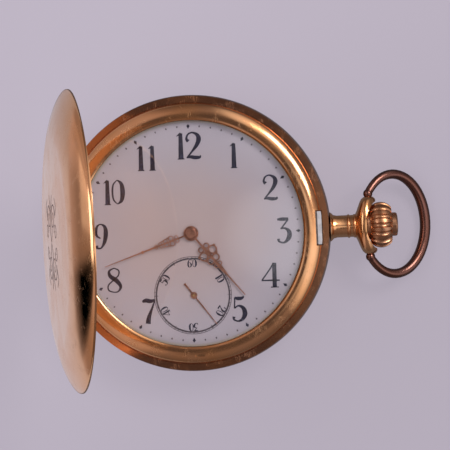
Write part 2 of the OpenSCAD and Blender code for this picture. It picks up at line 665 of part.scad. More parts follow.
// A curl of a scrolled hand: an open loop whose foot joins the stalk
module curl(x, y, r, w) {
    translate([x, y]) difference() {
        circle(r = r);
        circle(r = r - w);
    }
}
module hour_shape() {
    circle(r = 1.35);
    translate([-0.16, 0]) square([0.32, 4.2]);
    for (side = [-1, 1]) {
        curl(side * 0.62, 3.5, 0.55, 0.2);
        curl(side * 1.05, 4.75, 0.85, 0.26);
        curl(side * 0.58, 6.2, 0.72, 0.24);
        translate([side * 1.75, 4.35]) circle(r = 0.24);
        translate([side * 1.2, 5.6]) circle(r = 0.26);
        curl(side * 0.36, 7.5, 0.46, 0.18);
    }
    polygon([[-0.3, 4.0], [0.3, 4.0], [0.2, 6.6], [0.34, 8.0], [0.3, 8.9], [0.13, 10.2],
        [0.07, hour_len], [-0.07, hour_len], [-0.13, 10.2], [-0.3, 8.9], [-0.34, 8.0], [-0.2, 6.6]]);
}
module minute_shape() {
    circle(r = 1.05);
    translate([-0.13, 0]) square([0.26, 3]);
    for (side = [-1, 1]) {
        curl(side * 0.34, 2.75, 0.36, 0.13);
        curl(side * 0.5, 3.75, 0.5, 0.15);
        curl(side * 0.36, 4.85, 0.42, 0.14);
        curl(side * 0.27, 5.9, 0.34, 0.13);
        curl(side * 0.2, 6.8, 0.26, 0.12);
        translate([side * 0.74, 4.35]) circle(r = 0.15);
        translate([side * 0.56, 5.4]) circle(r = 0.13);
    }
    translate([0, 9.5]) circle(r = 0.27);
    polygon([[-0.12, 2.6], [0.12, 2.6], [0.1, 5], [0.16, 7.6], [0.11, 9.5], [0.05, minute_len],
        [-0.05, minute_len], [-0.11, 9.5], [-0.16, 7.6], [-0.1, 5]]);
}

module hour_hand() {
    color(rose_gold) in_movement() difference() {
        rotate([0, 0, -hour_turn]) slab(hour_hand_z) hour_shape();
        disc(0.95, [0, 5]);
    }
}
module minute_hand() {
    color(rose_gold) in_movement() difference() {
        rotate([0, 0, -minute_turn]) {
            slab(minute_hand_z) minute_shape();
            translate([0, 0, minute_hand_z[1] - 0.05]) cylinder(r1 = 1.05, r2 = 0.85, h = 0.25);
        }
        disc(0.55, [0, minute_hand_z[1] + 0.1]);
    }
}
module seconds_hand() {
    color(rose_gold) in_movement() at(fourth_at) {
        rotate([0, 0, -seconds_turn]) slab(seconds_hand_z) difference() {
            union() {
                circle(r = 0.62);
                polygon([[-0.2, -2.75], [0.2, -2.75], [0.1, 0], [0.12, 2], [0.05, seconds_len],
                    [-0.05, seconds_len], [-0.12, 2], [-0.1, 0]]);
            }
            circle(r = 0.2);
        }
        ring(0.36, 0.2, [dial_z[1] - 0.35, seconds_hand_z[0] + 0.01]);
    }
}

module mainplate() {
    color(gilt) in_movement() difference() {
        union() {
            disc_fine(plate_r, [0, plate_t]);
            ring(flange_r, 20.2, [plate_t, plate_rim_z]);
            translate([9.7, -1.2, -0.9]) cube([1.1, 2.4, 1]);
            at(minute_wheel_at) disc(0.35, [plate_t - 0.1, motion_pinion_z[1]]);
            at(setting_wheel_at) disc(0.5, [plate_t - 0.1, motion_z[1] + 0.1]);
        }
        disc(1.9, [-1, barrel_z[1] + 0.1]);
        disc(center_arbor_r + run_gap, [-1, 3]);
        at(barrel_at) disc_fine(9.0, [-1, barrel_z[1] + 0.1]);
        at(barrel_at) disc(0.62, [-1, 1.1]);
        for (p = [third_at, fourth_at, escape_at, pallet_at, balance_at]) at(p) disc(jewel_r, [-1, 0.5]);
        for (p = [third_at, escape_at, pallet_at, balance_at]) at(p) disc(pivot_r + pivot_gap, [0, 1]);
        at(fourth_at) disc(0.3, [0, 2]);
        for (p = concat(barrel_feet, train_feet, [cock_foot])) at(p) disc(0.45, [-1, 1.1]);
        for (p = pallet_feet) at(p) disc(0.28, [-1, 0.7]);
        for (a = dial_feet) at(dial_foot_r * heading(a)) disc(0.4, [0.5, 2]);
        for (p = case_screw_at) at(p) {
            disc(0.4, [-1, plate_t + 0.45]);
            disc(1.15, [-1, plate_t - 0.3]);
        }
        translate([10.9, -1.85, -1]) cube([6.2, 3.7, 4]);
        translate([9, 0, 0]) rotate([0, 90, 0]) cylinder(r = 0.32, h = 3);
        translate([16, 0, 0]) rotate([0, 90, 0]) cylinder(r = stem_r + 0.05, h = 6);
        for (p = [lever_at, yoke_at]) at(p) disc(0.3, [0.6, 3]);
        translate([12.2, -2.8, 0.5]) cube([1.7, 1.2, 2]);
    }
}

// Straight bolt with a slotted head whose seat is at z and whose point lies depth above it
module screw(head_r, shank_r, z, depth) {
    difference() {
        union() {
            disc(head_r, [z - 0.4, z]);
            disc(shank_r, [z - 0.1, z + depth]);
        }
        translate([-head_r - 1, -0.08, z - 0.5]) cube([2 * head_r + 2, 0.16, 0.28]);
    }
}
module pillar(p, r) { at(p) disc(r, [bridge_z[1] - 0.1, 0]); }

module barrel_bridge() {
    color(gilt) in_movement() difference() {
        union() {
            slab(bridge_z) intersection() {
                circle(r = bridge_r);
                polygon([[-16, 4.6], [5.4, 2.4], [8.2, -4.9], [21, -4.9], [21, 21], [-16, 21]]);
            }
            for (p = barrel_feet) pillar(p, 1.7);
            translate([17.3, -2.6, bridge_z[1] - 0.1]) cube([2.6, 5.2, 0.1 - bridge_z[1]]);
            at(barrel_at) disc(1.9, [bridge_z[1] - 0.1, barrel_z[0] - 0.15]);
        }
        at(barrel_at) disc(1.0 + run_gap, [-5, 0]);
        at(crown_wheel_at) disc(crown_hub_r + seam, [-5, 0]);
        translate([16, 0, 0]) rotate([0, 90, 0]) cylinder(r = stem_r + 0.05, h = 6);
        for (p = barrel_feet) at(p) disc(0.4, [-5, 0.5]);
        for (p = cap_feet) at(p) disc(0.3, [-5, -3]);
        at(click_at) disc(0.35, [-5, -3]);
        at(click_spring_at) disc(0.3, [-5, -3]);
    }
}

module train_bridge() {
    color(gilt) in_movement() difference() {
        union() {
            slab(bridge_z) intersection() {
                circle(r = bridge_r);
                polygon([[-2.0, 1.9], [4.6, 1.9], [7.9, -5.6], [13.0, -7.6], [12.2, -12], [7.4, -18.4],
                    [3.2, -18.4], [-2.2, -13.6], [-6.3, -11.6], [-6.3, -7.8], [-2.6, -4.6]]);
            }
            for (p = train_feet) pillar(p, 1.6);
        }
        for (p = train_feet) at(p) disc(0.4, [-5, 0.5]);
        for (p = [center_at, third_at, fourth_at, escape_at]) at(p) {
            disc(jewel_r, [bridge_z[1] - 0.6, 0]);
            disc(pivot_r + pivot_gap, [-5, 0]);
        }
    }
}
module balance_cock() {
    color(gilt) in_movement() difference() {
        union() {
            slab(bridge_z) hull() {
                translate(balance_at) circle(r = 2.0);
                translate(cock_foot) circle(r = 2.2);
            }
            pillar(cock_foot, 2.1);
        }
        at(cock_foot) disc(0.4, [-5, 0.5]);
        at(balance_at) {
            disc(jewel_r, [bridge_z[1] - 0.6, 0]);
            disc(pivot_r + pivot_gap, [-5, 0]);
        }
        at(stud_at) disc(0.35, [-5, -2]);
    }
}
module pallet_cock() {
    color(gilt) in_movement() difference() {
        union() {
            slab(pallet_cock_z) hull() {
                translate(pallet_feet[0]) circle(r = 0.7);
                translate(pallet_feet[1]) circle(r = 0.7);
            }
            for (p = pallet_feet) at(p) disc(0.6, [pallet_cock_z[1] - 0.1, 0]);
        }
        for (p = pallet_feet) at(p) disc(0.25, [-2, 0.5]);
        at(pallet_at) disc(0.45, [pallet_cock_z[1] - 0.3, 0]);
        at(pallet_at) disc(pivot_r + pivot_gap, [-2, 0]);
    }
}
module crown_wheel_cap() {
    color(gilt) in_movement() difference() {
        union() {
            slab([ratchet_z[0] - 0.5, ratchet_z[0] - 0.08]) hull() {
                translate(crown_wheel_at) circle(r = 1.3);
                for (p = cap_feet) translate(p) circle(r = 0.95);
            }
            for (p = cap_feet) at(p) disc(0.9, [ratchet_z[0] - 0.2, bridge_z[0]]);
        }
        at(crown_wheel_at) disc(0.5 + run_gap, [-6, 0]);
        for (p = cap_feet) at(p) disc(0.3, [-6, 0]);
    }
}

module bridge_screws() {
    color(blued) in_movement() {
        for (p = concat(barrel_feet, train_feet, [cock_foot])) at(p) screw(0.95, 0.4, bridge_z[0], 4.9);
        for (p = cap_feet) at(p) screw(0.55, 0.3, ratchet_z[0] - 0.5, 1.3);
        for (p = pallet_feet) at(p) screw(0.5, 0.25, pallet_cock_z[0], 1.8);
    }
}
module case_screws() {
    color(blued) in_movement() for (p = case_screw_at) at(p)
        screw(1.05, 0.4, plate_t - 0.3, 0.7);
}
// Ring stones that carry the pivots, set flush in the plate, the bridges and the cocks
module jewels() {
    color(ruby) in_movement() {
        for (p = [third_at, escape_at, pallet_at, balance_at]) at(p)
            ring(jewel_r, pivot_r + pivot_gap, [0.05, 0.5]);
        at(fourth_at) ring(jewel_r, 0.3, [0.05, 0.5]);
        for (p = [center_at, third_at, fourth_at, escape_at, balance_at]) at(p)
            ring(jewel_r, pivot_r + pivot_gap, [bridge_z[1] - 0.6, bridge_z[1] - 0.05]);
        at(pallet_at) ring(0.45, pivot_r + pivot_gap, [pallet_cock_z[1] - 0.3, pallet_cock_z[1]]);
    }
}

// Flat wheel: toothed rim, arms and hub
module wheel(p, turn, teeth, mod, z, share, rim, hub, arms, bore) {
    r = teeth * mod / 2;
    at(p) slab(z) difference() {
        polygon(teeth_points(teeth, r - 1.3 * mod, r, r + 0.95 * mod, share, turn));
        if (arms > 0) difference() {
            circle(r = r - 1.3 * mod - rim);
            circle(r = hub);
            for (i = [0:arms - 1]) rotate(i * 360 / arms + turn)
                translate([0, -hub * 0.22]) square([r, hub * 0.44]);
        }
        circle(r = bore);
    }
}
module pinion(p, turn, leaves, mod, z, share) {
    r = leaves * mod / 2;
    at(p) slab(z) polygon(teeth_points(leaves, r - 1.25 * mod, r, r + 0.7 * mod, share, turn));
}
// Arbor with a thin pivot at each end
module arbor(p, r, z, low, high) {
    at(p) {
        disc(r, z);
        disc(pivot_r, [low, z[0] + 0.01]);
        disc(pivot_r, [z[1] - 0.01, high]);
    }
}

module center_wheel() {
    color(gilt) in_movement() {
        wheel(center_at, 0, 80, center_module, center_z, wheel_share, 0.55, 1.3, 5, 0.3);
        pinion(center_at, center_pinion_turn, 12, going_module, center_pinion_z, pinion_share);
        disc(center_arbor_r, [center_z[0] - 0.15, plate_t]);
        disc(cannon_bore_r, [plate_t - 0.01, minute_hand_z[1]]);
        disc(pivot_r, [pivot_low, center_z[0]]);
    }
}
module third_wheel() {
    color(gilt) in_movement() {
        wheel(third_at, 0, 75, third_module, third_z, wheel_share, 0.45, 1.1, 5, 0.2);
        pinion(third_at, third_turn, 10, center_module, third_pinion_z, pinion_share);
        arbor(third_at, arbor_r, [bridge_face, -0.05], pivot_low, pivot_high);
    }
}
module fourth_wheel() {
    color(gilt) in_movement() {
        wheel(fourth_at, 0, 70, fourth_module, fourth_z, wheel_share, 0.4, 1.0, 5, 0.2);
        pinion(fourth_at, fourth_turn, 10, third_module, fourth_pinion_z, pinion_share);
        arbor(fourth_at, arbor_r, [bridge_face, -0.05], pivot_low, seconds_hand_z[1]);
        at(fourth_at) disc(0.2, [seconds_hand_z[0] - 0.5, seconds_hand_z[1]]);
        at(fourth_at) disc(0.27, [-0.1, 1.9]);
    }
}
// Club-toothed escape wheel: each tooth leans forward and ends in a short heel
module escape_wheel() {
    teeth = 15;
    pitch = 360 / teeth;
    tooth = [[0.80, 0.30], [0.99, 0.12], [1.0, 0.02], [0.965, -0.04], [0.80, -0.10]];
    color(steel) in_movement() {
        at(escape_at) slab(escape_z) difference() {
            polygon([for (i = [0:teeth - 1], p = tooth)
                escape_r * p[0] * heading(line_angle + (i + 0.5 - p[1]) * pitch)]);
            difference() {
                circle(r = escape_r * 0.68);
                circle(r = 0.75);
                for (i = [0:3]) rotate(i * 90) translate([0, -0.15]) square([escape_r, 0.3]);
            }
        }
        pinion(escape_at, escape_turn, 7, fourth_module, escape_pinion_z, pinion_share);
        arbor(escape_at, 0.24, [bridge_face, -0.05], pivot_low, pivot_high);
    }
}

// Fork on the line of centres, with two arms that reach over the escape wheel
module pallet_fork() {
    to_balance = line_angle;
    color(steel) in_movement() {
        slab(escape_z) {
            translate(pallet_at) rotate(to_balance) {
                circle(r = 0.55);
                polygon([[0, -0.35], [2.2, -0.2], [2.4, -0.5], [3.1, -0.42], [3.1, -0.2], [2.7, -0.17],
                    [2.7, 0.17], [3.1, 0.2], [3.1, 0.42], [2.4, 0.5], [2.2, 0.2], [0, 0.35]]);
            }
            for (a = stone_turns) hull() {
                translate(pallet_at) circle(r = 0.35);
                translate(escape_at + (escape_r + 0.75) * heading(line_angle + a)) circle(r = 0.3);
            }
        }
        arbor(pallet_at, 0.2, [pallet_cock_z[1] + 0.05, -0.05], pallet_cock_z[1] - 0.25, pivot_high);
    }
}
module pallet_stones() {
    color(ruby) in_movement() for (a = stone_turns)
        translate(escape_at) rotate(line_angle + a)
            slab([escape_z[0] - 0.04 - 0.16, escape_z[0]]) translate([escape_r + 0.06, -0.14]) square([0.75, 0.28]);
}

module balance_wheel() {
    r = balance_d / 2;
    color(gilt) in_movement() at(balance_at) {
        difference() {
            slab(balance_z) difference() {
                circle(r = r, $fn = 180);
                difference() {
                    circle(r = r - 0.6, $fn = 180);
                    circle(r = 0.9);
                    for (side = [0, 180]) rotate(side + 30) translate([0, -0.3]) square([r, 0.6]);
                }
            }
            disc(0.35, [-4, 0]);
        }
        for (i = [0:13]) if (i % 7 != 1) rotate([0, 0, i * 360 / 14 + 4]) translate([r - 0.05, 0, mid(balance_z)])
            rotate([0, 90, 0]) cylinder(r = 0.2, h = 0.3);
    }
}
module balance_staff() {
    color(steel) in_movement() at(balance_at) {
        disc(0.35, [hairspring_z[0] - 0.05, roller_z[1] + 0.1]);
        disc(0.5, [hairspring_z[0], hairspring_z[1] + 0.1]);
        disc(1.0, roller_z);
        at(0.8 * heading(line_angle + 180)) disc(0.12, [roller_z[1] - 0.01, escape_z[0] - 0.02]);
        disc(pivot_r, [pivot_low, pivot_high]);
        disc(0.2, [roller_z[1], -0.05]);
    }
}
// Flat spiral strip, from its inner to its outer radius
function spiral(r0, r1, coils, steps, off, start) = [for (i = [0:coils * steps])
    (r0 + (r1 - r0) * i / (coils * steps) + off) * heading(start + i * 360 / steps)];
module spiral_strip(r0, r1, coils, w, start, steps) {
    polygon(concat(spiral(r0, r1, coils, steps, -w / 2, start), reversed(spiral(r0, r1, coils, steps, w / 2, start))));
}
module hairspring() {
    stud_turn = direction(balance_at, stud_at);
    color(blued) in_movement() at(balance_at) slab(hairspring_z)
        spiral_strip(0.62, 3.5, hairspring_coils, 0.07, stud_turn, 30);
}
module hairspring_stud() {
    color(steel) in_movement() at(stud_at) disc(0.25, [hairspring_z[0] - 1.3, hairspring_z[1]]);
}
// Index arm that turns on the cock round the balance's axis
module regulator() {
    color(steel) in_movement() difference() {
        slab([bridge_z[0] - 0.42, bridge_z[0] - 0.05]) union() {
            translate(balance_at) circle(r = 1.6);
            translate(balance_at) rotate(direction(balance_at, cock_foot) - 14)
                polygon([[0, -0.5], [6.4, -0.12], [6.4, 0.12], [0, 0.5]]);
        }
        at(balance_at) disc(0.9, [-6, 0]);
    }
}

module barrel() {
    color(gilt) in_movement() at(barrel_at) difference() {
        union() {
            disc_fine(8.1, [barrel_z[0] + 0.25, barrel_z[1]]);
            slab(barrel_teeth_z) polygon(teeth_points(72, 36 * going_module - 1.3 * going_module,
                36 * going_module, 36.95 * going_module, wheel_share, barrel_turn));
        }
        disc_fine(7.7, [barrel_z[0], barrel_z[1] - 0.25]);
        disc(0.6 + run_gap, [-3, 2]);
    }
}
module barrel_cap() {
    color(gilt) in_movement() at(barrel_at) ring(8.1, 1.0 + run_gap, [barrel_z[0], barrel_z[0] + 0.25]);
}
module barrel_arbor() {
    color(steel) in_movement() at(barrel_at) {
        disc(1.0, [ratchet_z[1], barrel_z[0] + 0.3]);
        disc(1.7, [barrel_z[0] + 0.3, barrel_z[1] - 0.3]);
        disc(0.6, [barrel_z[1] - 0.31, 1.05]);
        translate([-0.6, -0.6, ratchet_z[0]]) cube([1.2, 1.2, 0.6]);
        disc(0.9, [ratchet_z[0] - 0.3, ratchet_z[0]]);
    }
}
module mainspring() {
    color(steel) in_movement() at(barrel_at) slab([barrel_z[0] + 0.4, barrel_z[1] - 0.4])
        spiral_strip(1.95, 7.55, mainspring_coils, 0.14, 40, 24);
}
module ratchet_wheel() {
    r = ratchet_teeth * crown_ratchet_module / 2;
    color(steel) in_movement() difference() {
        at(barrel_at) slab(ratchet_z) polygon(teeth_points(ratchet_teeth, r - 1.3 * crown_ratchet_module, r,
            r + 0.95 * crown_ratchet_module, wheel_share, 0));
        at(barrel_at) translate([-0.6, -0.6, -6]) cube([1.2, 1.2, 6]);
    }
}
module crown_wheel() {
    r = crown_wheel_teeth * crown_ratchet_module / 2;
    color(steel) in_movement() at(crown_wheel_at) {
        slab(ratchet_z) polygon(teeth_points(crown_wheel_teeth, r - 1.3 * crown_ratchet_module, r,
            r + 0.95 * crown_ratchet_module, wheel_share, crown_wheel_turn));
        disc(0.5, [ratchet_z[0] - 0.4, ratchet_z[0] + 0.01]);
        difference() {
            disc(crown_hub_r, [ratchet_z[1] - 0.01, -1.75]);
            disc(crown_hub_r - 0.7, [ratchet_z[1] + 0.3, 0]);
            for (i = [0:11]) rotate([0, 0, i * 15]) translate([-4, -0.2, -2.1]) cube([8, 0.4, 1]);
        }
    }
}
// Pawl whose beak stands at the ratchet's teeth
module click() {
    reach = norm(click_at - barrel_at) - (ratchet_teeth / 2 + 0.95) * crown_ratchet_module - 0.06;
    color(steel) in_movement() difference() {
        union() {
            slab(ratchet_z) translate(click_at) rotate(direction(click_at, barrel_at)) {
                circle(r = 0.8);
                polygon([[0, -0.75], [reach - 0.2, -0.6], [reach, 0.1], [reach - 0.3, 0.4], [0, 0.75]]);
            }
            slab(ratchet_z) translate(click_at) rotate(direction(click_at, barrel_at) + 180)
                translate([0, -0.3]) square([1.5, 0.6]);
        }
        at(click_at) disc(0.4, [-6, 0]);
    }
}
module click_spring() {
    side = direction(click_at, barrel_at) + 180;
    tail = click_at + 1.75 * heading(side);
    color(steel) in_movement() {
        slab(ratchet_z) {
            translate(click_spring_at) circle(r = 0.7);
            hull() {
                translate(click_spring_at) circle(r = 0.12);
                translate(tail + [0.0, -0.62]) circle(r = 0.12);
            }
        }
        at(click_spring_at) disc(0.3, [ratchet_z[1] - 0.01, -3.2]);
        at(click_at) disc(0.35, [ratchet_z[0] - 0.05, -3.2]);
        at(click_at) disc(0.7, [ratchet_z[0] - 0.35, ratchet_z[0] - 0.05]);
    }
}

module cannon_pinion() {
    color(steel) in_movement() difference() {
        union() {
            disc(0.55, [motion_z[0], minute_hand_z[1] + 0.05]);
            pinion(center_at, 0, 12, minute_module, motion_z, pinion_share);
        }
        disc(cannon_bore_r, [0, 9]);
    }
}
module hour_wheel() {
    color(gilt) in_movement() {
        wheel(center_at, hour_wheel_turn, 40, hour_module, [motion_pinion_z[0] + 0.05, motion_pinion_z[1] - 0.1],
            wheel_share, 0.4, 1.2, 0, 0.62);
        ring(0.95, 0.62, [motion_pinion_z[0] + 0.05, hour_hand_z[1]]);
    }
}
module minute_wheel() {
    color(gilt) in_movement() {
        wheel(minute_wheel_at, minute_wheel_turn, 36, minute_module, motion_z, wheel_share, 0.4, 0.7, 0, 0.38);
        difference() {
            pinion(minute_wheel_at, 0, 10, hour_module, [motion_z[1] - 0.01, motion_pinion_z[1]], pinion_share);
            at(minute_wheel_at) disc(0.38, [0, 3]);
        }
    }
}
module setting_wheel() {
    color(steel) in_movement()
        wheel(setting_wheel_at, setting_turn, 24, minute_module, motion_z, wheel_share, 0.4, 0.7, 0, 0.53);
}

module winding_pinion() {
    color(steel) round_stem() difference() {
        union() {
            translate([0, 0, stem_x0]) cylinder(r = 0.95, h = 2.0);
            translate([0, 0, stem_x0 + 0.4]) linear_extrude(1.6) polygon(teeth_points(14, 1.25, 1.5, 1.7, 0.45, 0));
        }
        translate([0, 0, 14]) cylinder(r = stem_r + run_gap, h = 4);
    }
}
module clutch() {
    color(steel) in_movement() difference() {
        rotate([0, 90, 0]) turned([[0, 12.1], [1.5, 12.1], [1.5, 12.9], [1.0, 12.9], [1.0, 13.5],
            [1.5, 13.5], [1.5, 14.5], [0, 14.5]]);
        translate([11, -0.43, -0.43]) cube([5, 0.86, 0.86]);
    }
}
// Lever that holds the stem, with its pin in the stem's groove
module setting_lever() {
    color(steel) in_movement() {
        slab(lever_z) {
            hull() {
                translate(lever_at) circle(r = 0.7);
                translate(lever_tip) circle(r = 0.3);
            }
            hull() {
                translate(lever_at) circle(r = 0.6);
                translate(lever_at + [-2.2, 0.6]) circle(r = 0.3);
            }
        }
        at(lever_at) disc(0.28, [0.65, lever_z[0] + 0.01]);
    }
}
// Yoke whose pin stands in the clutch's groove
module yoke() {
    color(steel) in_movement() {
        slab(lever_z) hull() {
            translate(yoke_at) circle(r = 0.7);
            translate(yoke_tip) circle(r = 0.3);
        }
        at(yoke_tip) disc(0.2, [0.85, lever_z[0] + 0.01]);
        at(yoke_at) disc(0.28, [0.65, lever_z[0] + 0.01]);
    }
}

case_band();
pendant();
pendant_sleeve();
bow();
front_cover();
front_hinge_pin();
bezel();
crystal();
back_cover();
back_hinge_pin();
inner_cover();
inner_hinge_pin();
lock_spring();
lift_spring();
case_spring_screws();
crown();
stem();
dial();
hour_hand();
minute_hand();
seconds_hand();
mainplate();
barrel_bridge();
train_bridge();
balance_cock();
pallet_cock();
crown_wheel_cap();
bridge_screws();
case_screws();
jewels();
barrel();
barrel_cap();
barrel_arbor();
mainspring();
ratchet_wheel();
crown_wheel();
click();
click_spring();
center_wheel();
cannon_pinion();
hour_wheel();
minute_wheel();
third_wheel();
fourth_wheel();
escape_wheel();
pallet_fork();
pallet_stones();
balance_wheel();
balance_staff();
hairspring();
hairspring_stud();
regulator();
winding_pinion();
clutch();
setting_wheel();
setting_lever();
yoke();
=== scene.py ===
"""Looks of the full hunter pocket watch, laid out as a Blender add-on.

The packed model is loaded as a fixed frame in metres: +Z looks up at the reader, +X runs out along the
pendant and +Y to 12 o'clock. Each operator dresses one group of pieces.
"""

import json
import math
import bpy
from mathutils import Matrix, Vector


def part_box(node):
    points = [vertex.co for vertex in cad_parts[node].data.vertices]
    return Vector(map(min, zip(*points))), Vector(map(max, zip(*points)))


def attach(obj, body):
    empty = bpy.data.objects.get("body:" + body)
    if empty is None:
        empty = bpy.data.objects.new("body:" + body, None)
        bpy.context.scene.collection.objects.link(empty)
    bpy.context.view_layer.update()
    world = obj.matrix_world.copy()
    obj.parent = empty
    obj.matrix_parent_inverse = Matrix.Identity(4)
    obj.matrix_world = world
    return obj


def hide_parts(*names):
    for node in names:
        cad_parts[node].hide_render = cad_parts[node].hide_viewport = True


bl_info = {
    "name": "Full hunter pocket watch",
    "version": (1, 0, 0),
    "blender": (4, 5, 0),
    "location": "3D View > Sidebar > Watch",
    "description": "Dresses the packed pocket watch and sets its stage",
    "category": "Object",
}

import bmesh
import bpy
from bpy.props import FloatProperty, FloatVectorProperty, PointerProperty
from mathutils import Matrix, Vector

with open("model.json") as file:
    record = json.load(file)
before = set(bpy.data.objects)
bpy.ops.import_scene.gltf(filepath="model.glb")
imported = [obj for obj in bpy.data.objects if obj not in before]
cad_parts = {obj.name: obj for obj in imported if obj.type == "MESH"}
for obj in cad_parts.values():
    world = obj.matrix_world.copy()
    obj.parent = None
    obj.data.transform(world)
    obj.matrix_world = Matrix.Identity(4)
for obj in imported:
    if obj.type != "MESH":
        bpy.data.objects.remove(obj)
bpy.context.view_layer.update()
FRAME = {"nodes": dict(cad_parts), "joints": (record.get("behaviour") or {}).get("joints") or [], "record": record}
BODY_OF = {n: b for b, members in FRAME["record"]["behaviour"]["bodies"].items() for n in members}
SLOT_OF = {s["node"]: s["material_slot"] for s in FRAME["record"]["subparts"]}
JOINTS = {j["name"]: j for j in FRAME["joints"]}
MM = 0.001

# Places that the frame gives, in metres
DIAL_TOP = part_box("dial")[1].z
SECONDS_AT = JOINTS["seconds_hand_turn"]["pos_m"][:2]
LID_HINGE = Vector(JOINTS["front_cover_open"]["pos_m"])
LID_OPEN = -math.radians(JOINTS["front_cover_open"]["range_deg"][0])


# Node trees

def node(tree, kind, settings=None, values=None):
    """Adds a node: its settings are set first, then the values or links of its inputs."""
    made = tree.nodes.new(kind)
    for key, value in (settings or {}).items():
        if key == "stops":
            ramp = made.color_ramp
            while len(ramp.elements) < len(value):
                ramp.elements.new(0.5)
            for element, (place, colour) in zip(ramp.elements, value):
                element.position = place
                element.color = (*colour, 1)
        else:
            setattr(made, key, value)
    for key, value in (values or {}).items():
        socket = made.inputs[key]
        if isinstance(value, Wire):
            tree.links.new(value.socket, socket)
        elif isinstance(value, bpy.types.NodeSocket):
            tree.links.new(value, socket)
        else:
            socket.default_value = value
    return made


class Wire:
    """An output socket that counts like a number: an expression on it adds Math nodes."""

    def __init__(self, tree, socket):
        self.tree, self.socket = tree, socket

    def math(self, operation, *others):
        values = dict(enumerate((self, *others)))
        return Wire(self.tree, node(self.tree, "ShaderNodeMath", {"operation": operation}, values).outputs[0])

    def flipped(self, operation, other):
        values = {0: other, 1: self}
        return Wire(self.tree, node(self.tree, "ShaderNodeMath", {"operation": operation}, values).outputs[0])

    def __add__(self, other):
        return self.math("ADD", other)

    def __sub__(self, other):
        return self.math("SUBTRACT", other)

    def __rsub__(self, other):
        return self.flipped("SUBTRACT", other)

    def __mul__(self, other):
        return self.math("MULTIPLY", other)

    def __truediv__(self, other):
        return self.math("DIVIDE", other)

    def __rtruediv__(self, other):
        return self.flipped("DIVIDE", other)

    __radd__ = __add__
    __rmul__ = __mul__

    def between(self, low, high, out_low=0.0, out_high=1.0, smooth=True):
        """This value mapped from low..high to out_low..out_high and held there."""
        made = node(self.tree, "ShaderNodeMapRange",
                    {"interpolation_type": "SMOOTHSTEP" if smooth else "LINEAR"},
                    {0: self, 1: low, 2: high, 3: out_low, 4: out_high})
        return Wire(self.tree, made.outputs[0])


class Finish:
    """A material being made, with the patterns that the finishes share."""

    def __init__(self, name):
        self.material = bpy.data.materials.new(name)
        self.material.use_nodes = True
        self.tree = self.material.node_tree
        self.tree.nodes.clear()
        self.output = node(self.tree, "ShaderNodeOutputMaterial")
        self.place = self.add("ShaderNodeTexCoord", out="Object")

    def add(self, kind, settings=None, values=None, out=0):
        return Wire(self.tree, node(self.tree, kind, settings, values).outputs[out])

    def noise(self, scale, detail=3.0, stretch=None):
        where = self.add("ShaderNodeMapping", None, {0: self.place, 3: stretch}) if stretch else self.place
        return self.add("ShaderNodeTexNoise", None, {"Vector": where, "Scale": scale, "Detail": detail})

    def blend(self, factor, first, second):
        """The mix of two colours, which may be colours or links."""
        made = node(self.tree, "ShaderNodeMix", {"data_type": "RGBA"},
                    {0: factor, 6: first if isinstance(first, Wire) else (*first, 1),
                     7: second if isinstance(second, Wire) else (*second, 1)})
        return Wire(self.tree, made.outputs[2])

    def parts(self):
        """The place's x, y and z."""
        made = node(self.tree, "ShaderNodeSeparateXYZ", None, {0: self.place})
        return [Wire(self.tree, s) for s in made.outputs]

    def scratches(self, scale, turn):
        """Fine hairline marks: stretched noise cut to thin lines, 1 on a mark and 0 off it."""
        along, thin = 0.04, 0.02
        scales = (scale, scale * along, scale)
        where = self.add("ShaderNodeMapping", None, {0: self.place, 2: turn, 3: scales})
        lines = self.add("ShaderNodeTexNoise", None, {"Vector": where, "Scale": 1.0, "Detail": 1.0})
        return (lines - 0.5).math("ABSOLUTE").between(thin, 0.0)

    def bump(self, height, distance, strength):
        return self.add("ShaderNodeBump", None,
                        {"Height": height, "Distance": distance, "Strength": strength})

    def surface(self, **sockets):
        """Ends the material in one Principled shader with these sockets."""
        values = {k.replace("_", " "): v for k, v in sockets.items()}
        shader = node(self.tree, "ShaderNodeBsdfPrincipled", None, values)
        self.tree.links.new(shader.outputs[0], self.output.inputs[0])
        return self.material


# Meshes

# Edges sharper than this stay sharp in smooth shading
SHARP_DEG = 32.0


def link(name, mesh):
    """A new object in the scene with this mesh."""
    piece = bpy.data.objects.new(name, mesh)
    bpy.context.scene.collection.objects.link(piece)
    return piece


def dress(piece, material, body, slot, *replaced):
    """Gives a finished piece its material and its body, and hides the nodes that it stands for. The slot is not
    used.
    """
    piece.data.materials.clear()
    piece.data.materials.append(material)
    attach(piece, body)
    if replaced:
        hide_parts(*replaced)
    return piece


def rounded(mesh, sharp_deg=SHARP_DEG):
    """Smooth shading, broken only at edges sharper than the angle."""
    mesh.polygons.foreach_set("use_smooth", [True] * len(mesh.polygons))
    mesh.set_sharp_from_angle(angle=math.radians(sharp_deg))
    return mesh


def make_mesh(name, points, faces):
    """A valid, smooth-shaded mesh from points and faces."""
    mesh = bpy.data.meshes.new(name)
    mesh.from_pydata([tuple(p) for p in points], [], faces)
    mesh.validate()
    mesh.update()
    return rounded(mesh)


def spun(name, profile, steps):
    """Turns a half section of (radius, height) points, whose ends lie on the axis, about Z."""
    points, rows = [], []
    for r, z in profile:
        if r < 1e-9:
            rows.append([len(points)] * steps)
            points.append((0.0, 0.0, z))
            continue
        row = []
        for k in range(steps):
            a = 2 * math.pi * k / steps
            row.append(len(points))
            points.append((r * math.cos(a), r * math.sin(a), z))
        rows.append(row)
    faces = []
    for low, high in zip(rows, rows[1:]):
        for k in range(steps):
            corners = [low[k], low[(k + 1) % steps], high[(k + 1) % steps], high[k]]
            face = [v for j, v in enumerate(corners) if v not in corners[:j]]
            if len(face) > 2:
                faces.append(face)
    return link(name, rounded(outward(make_mesh(name, points, faces))))


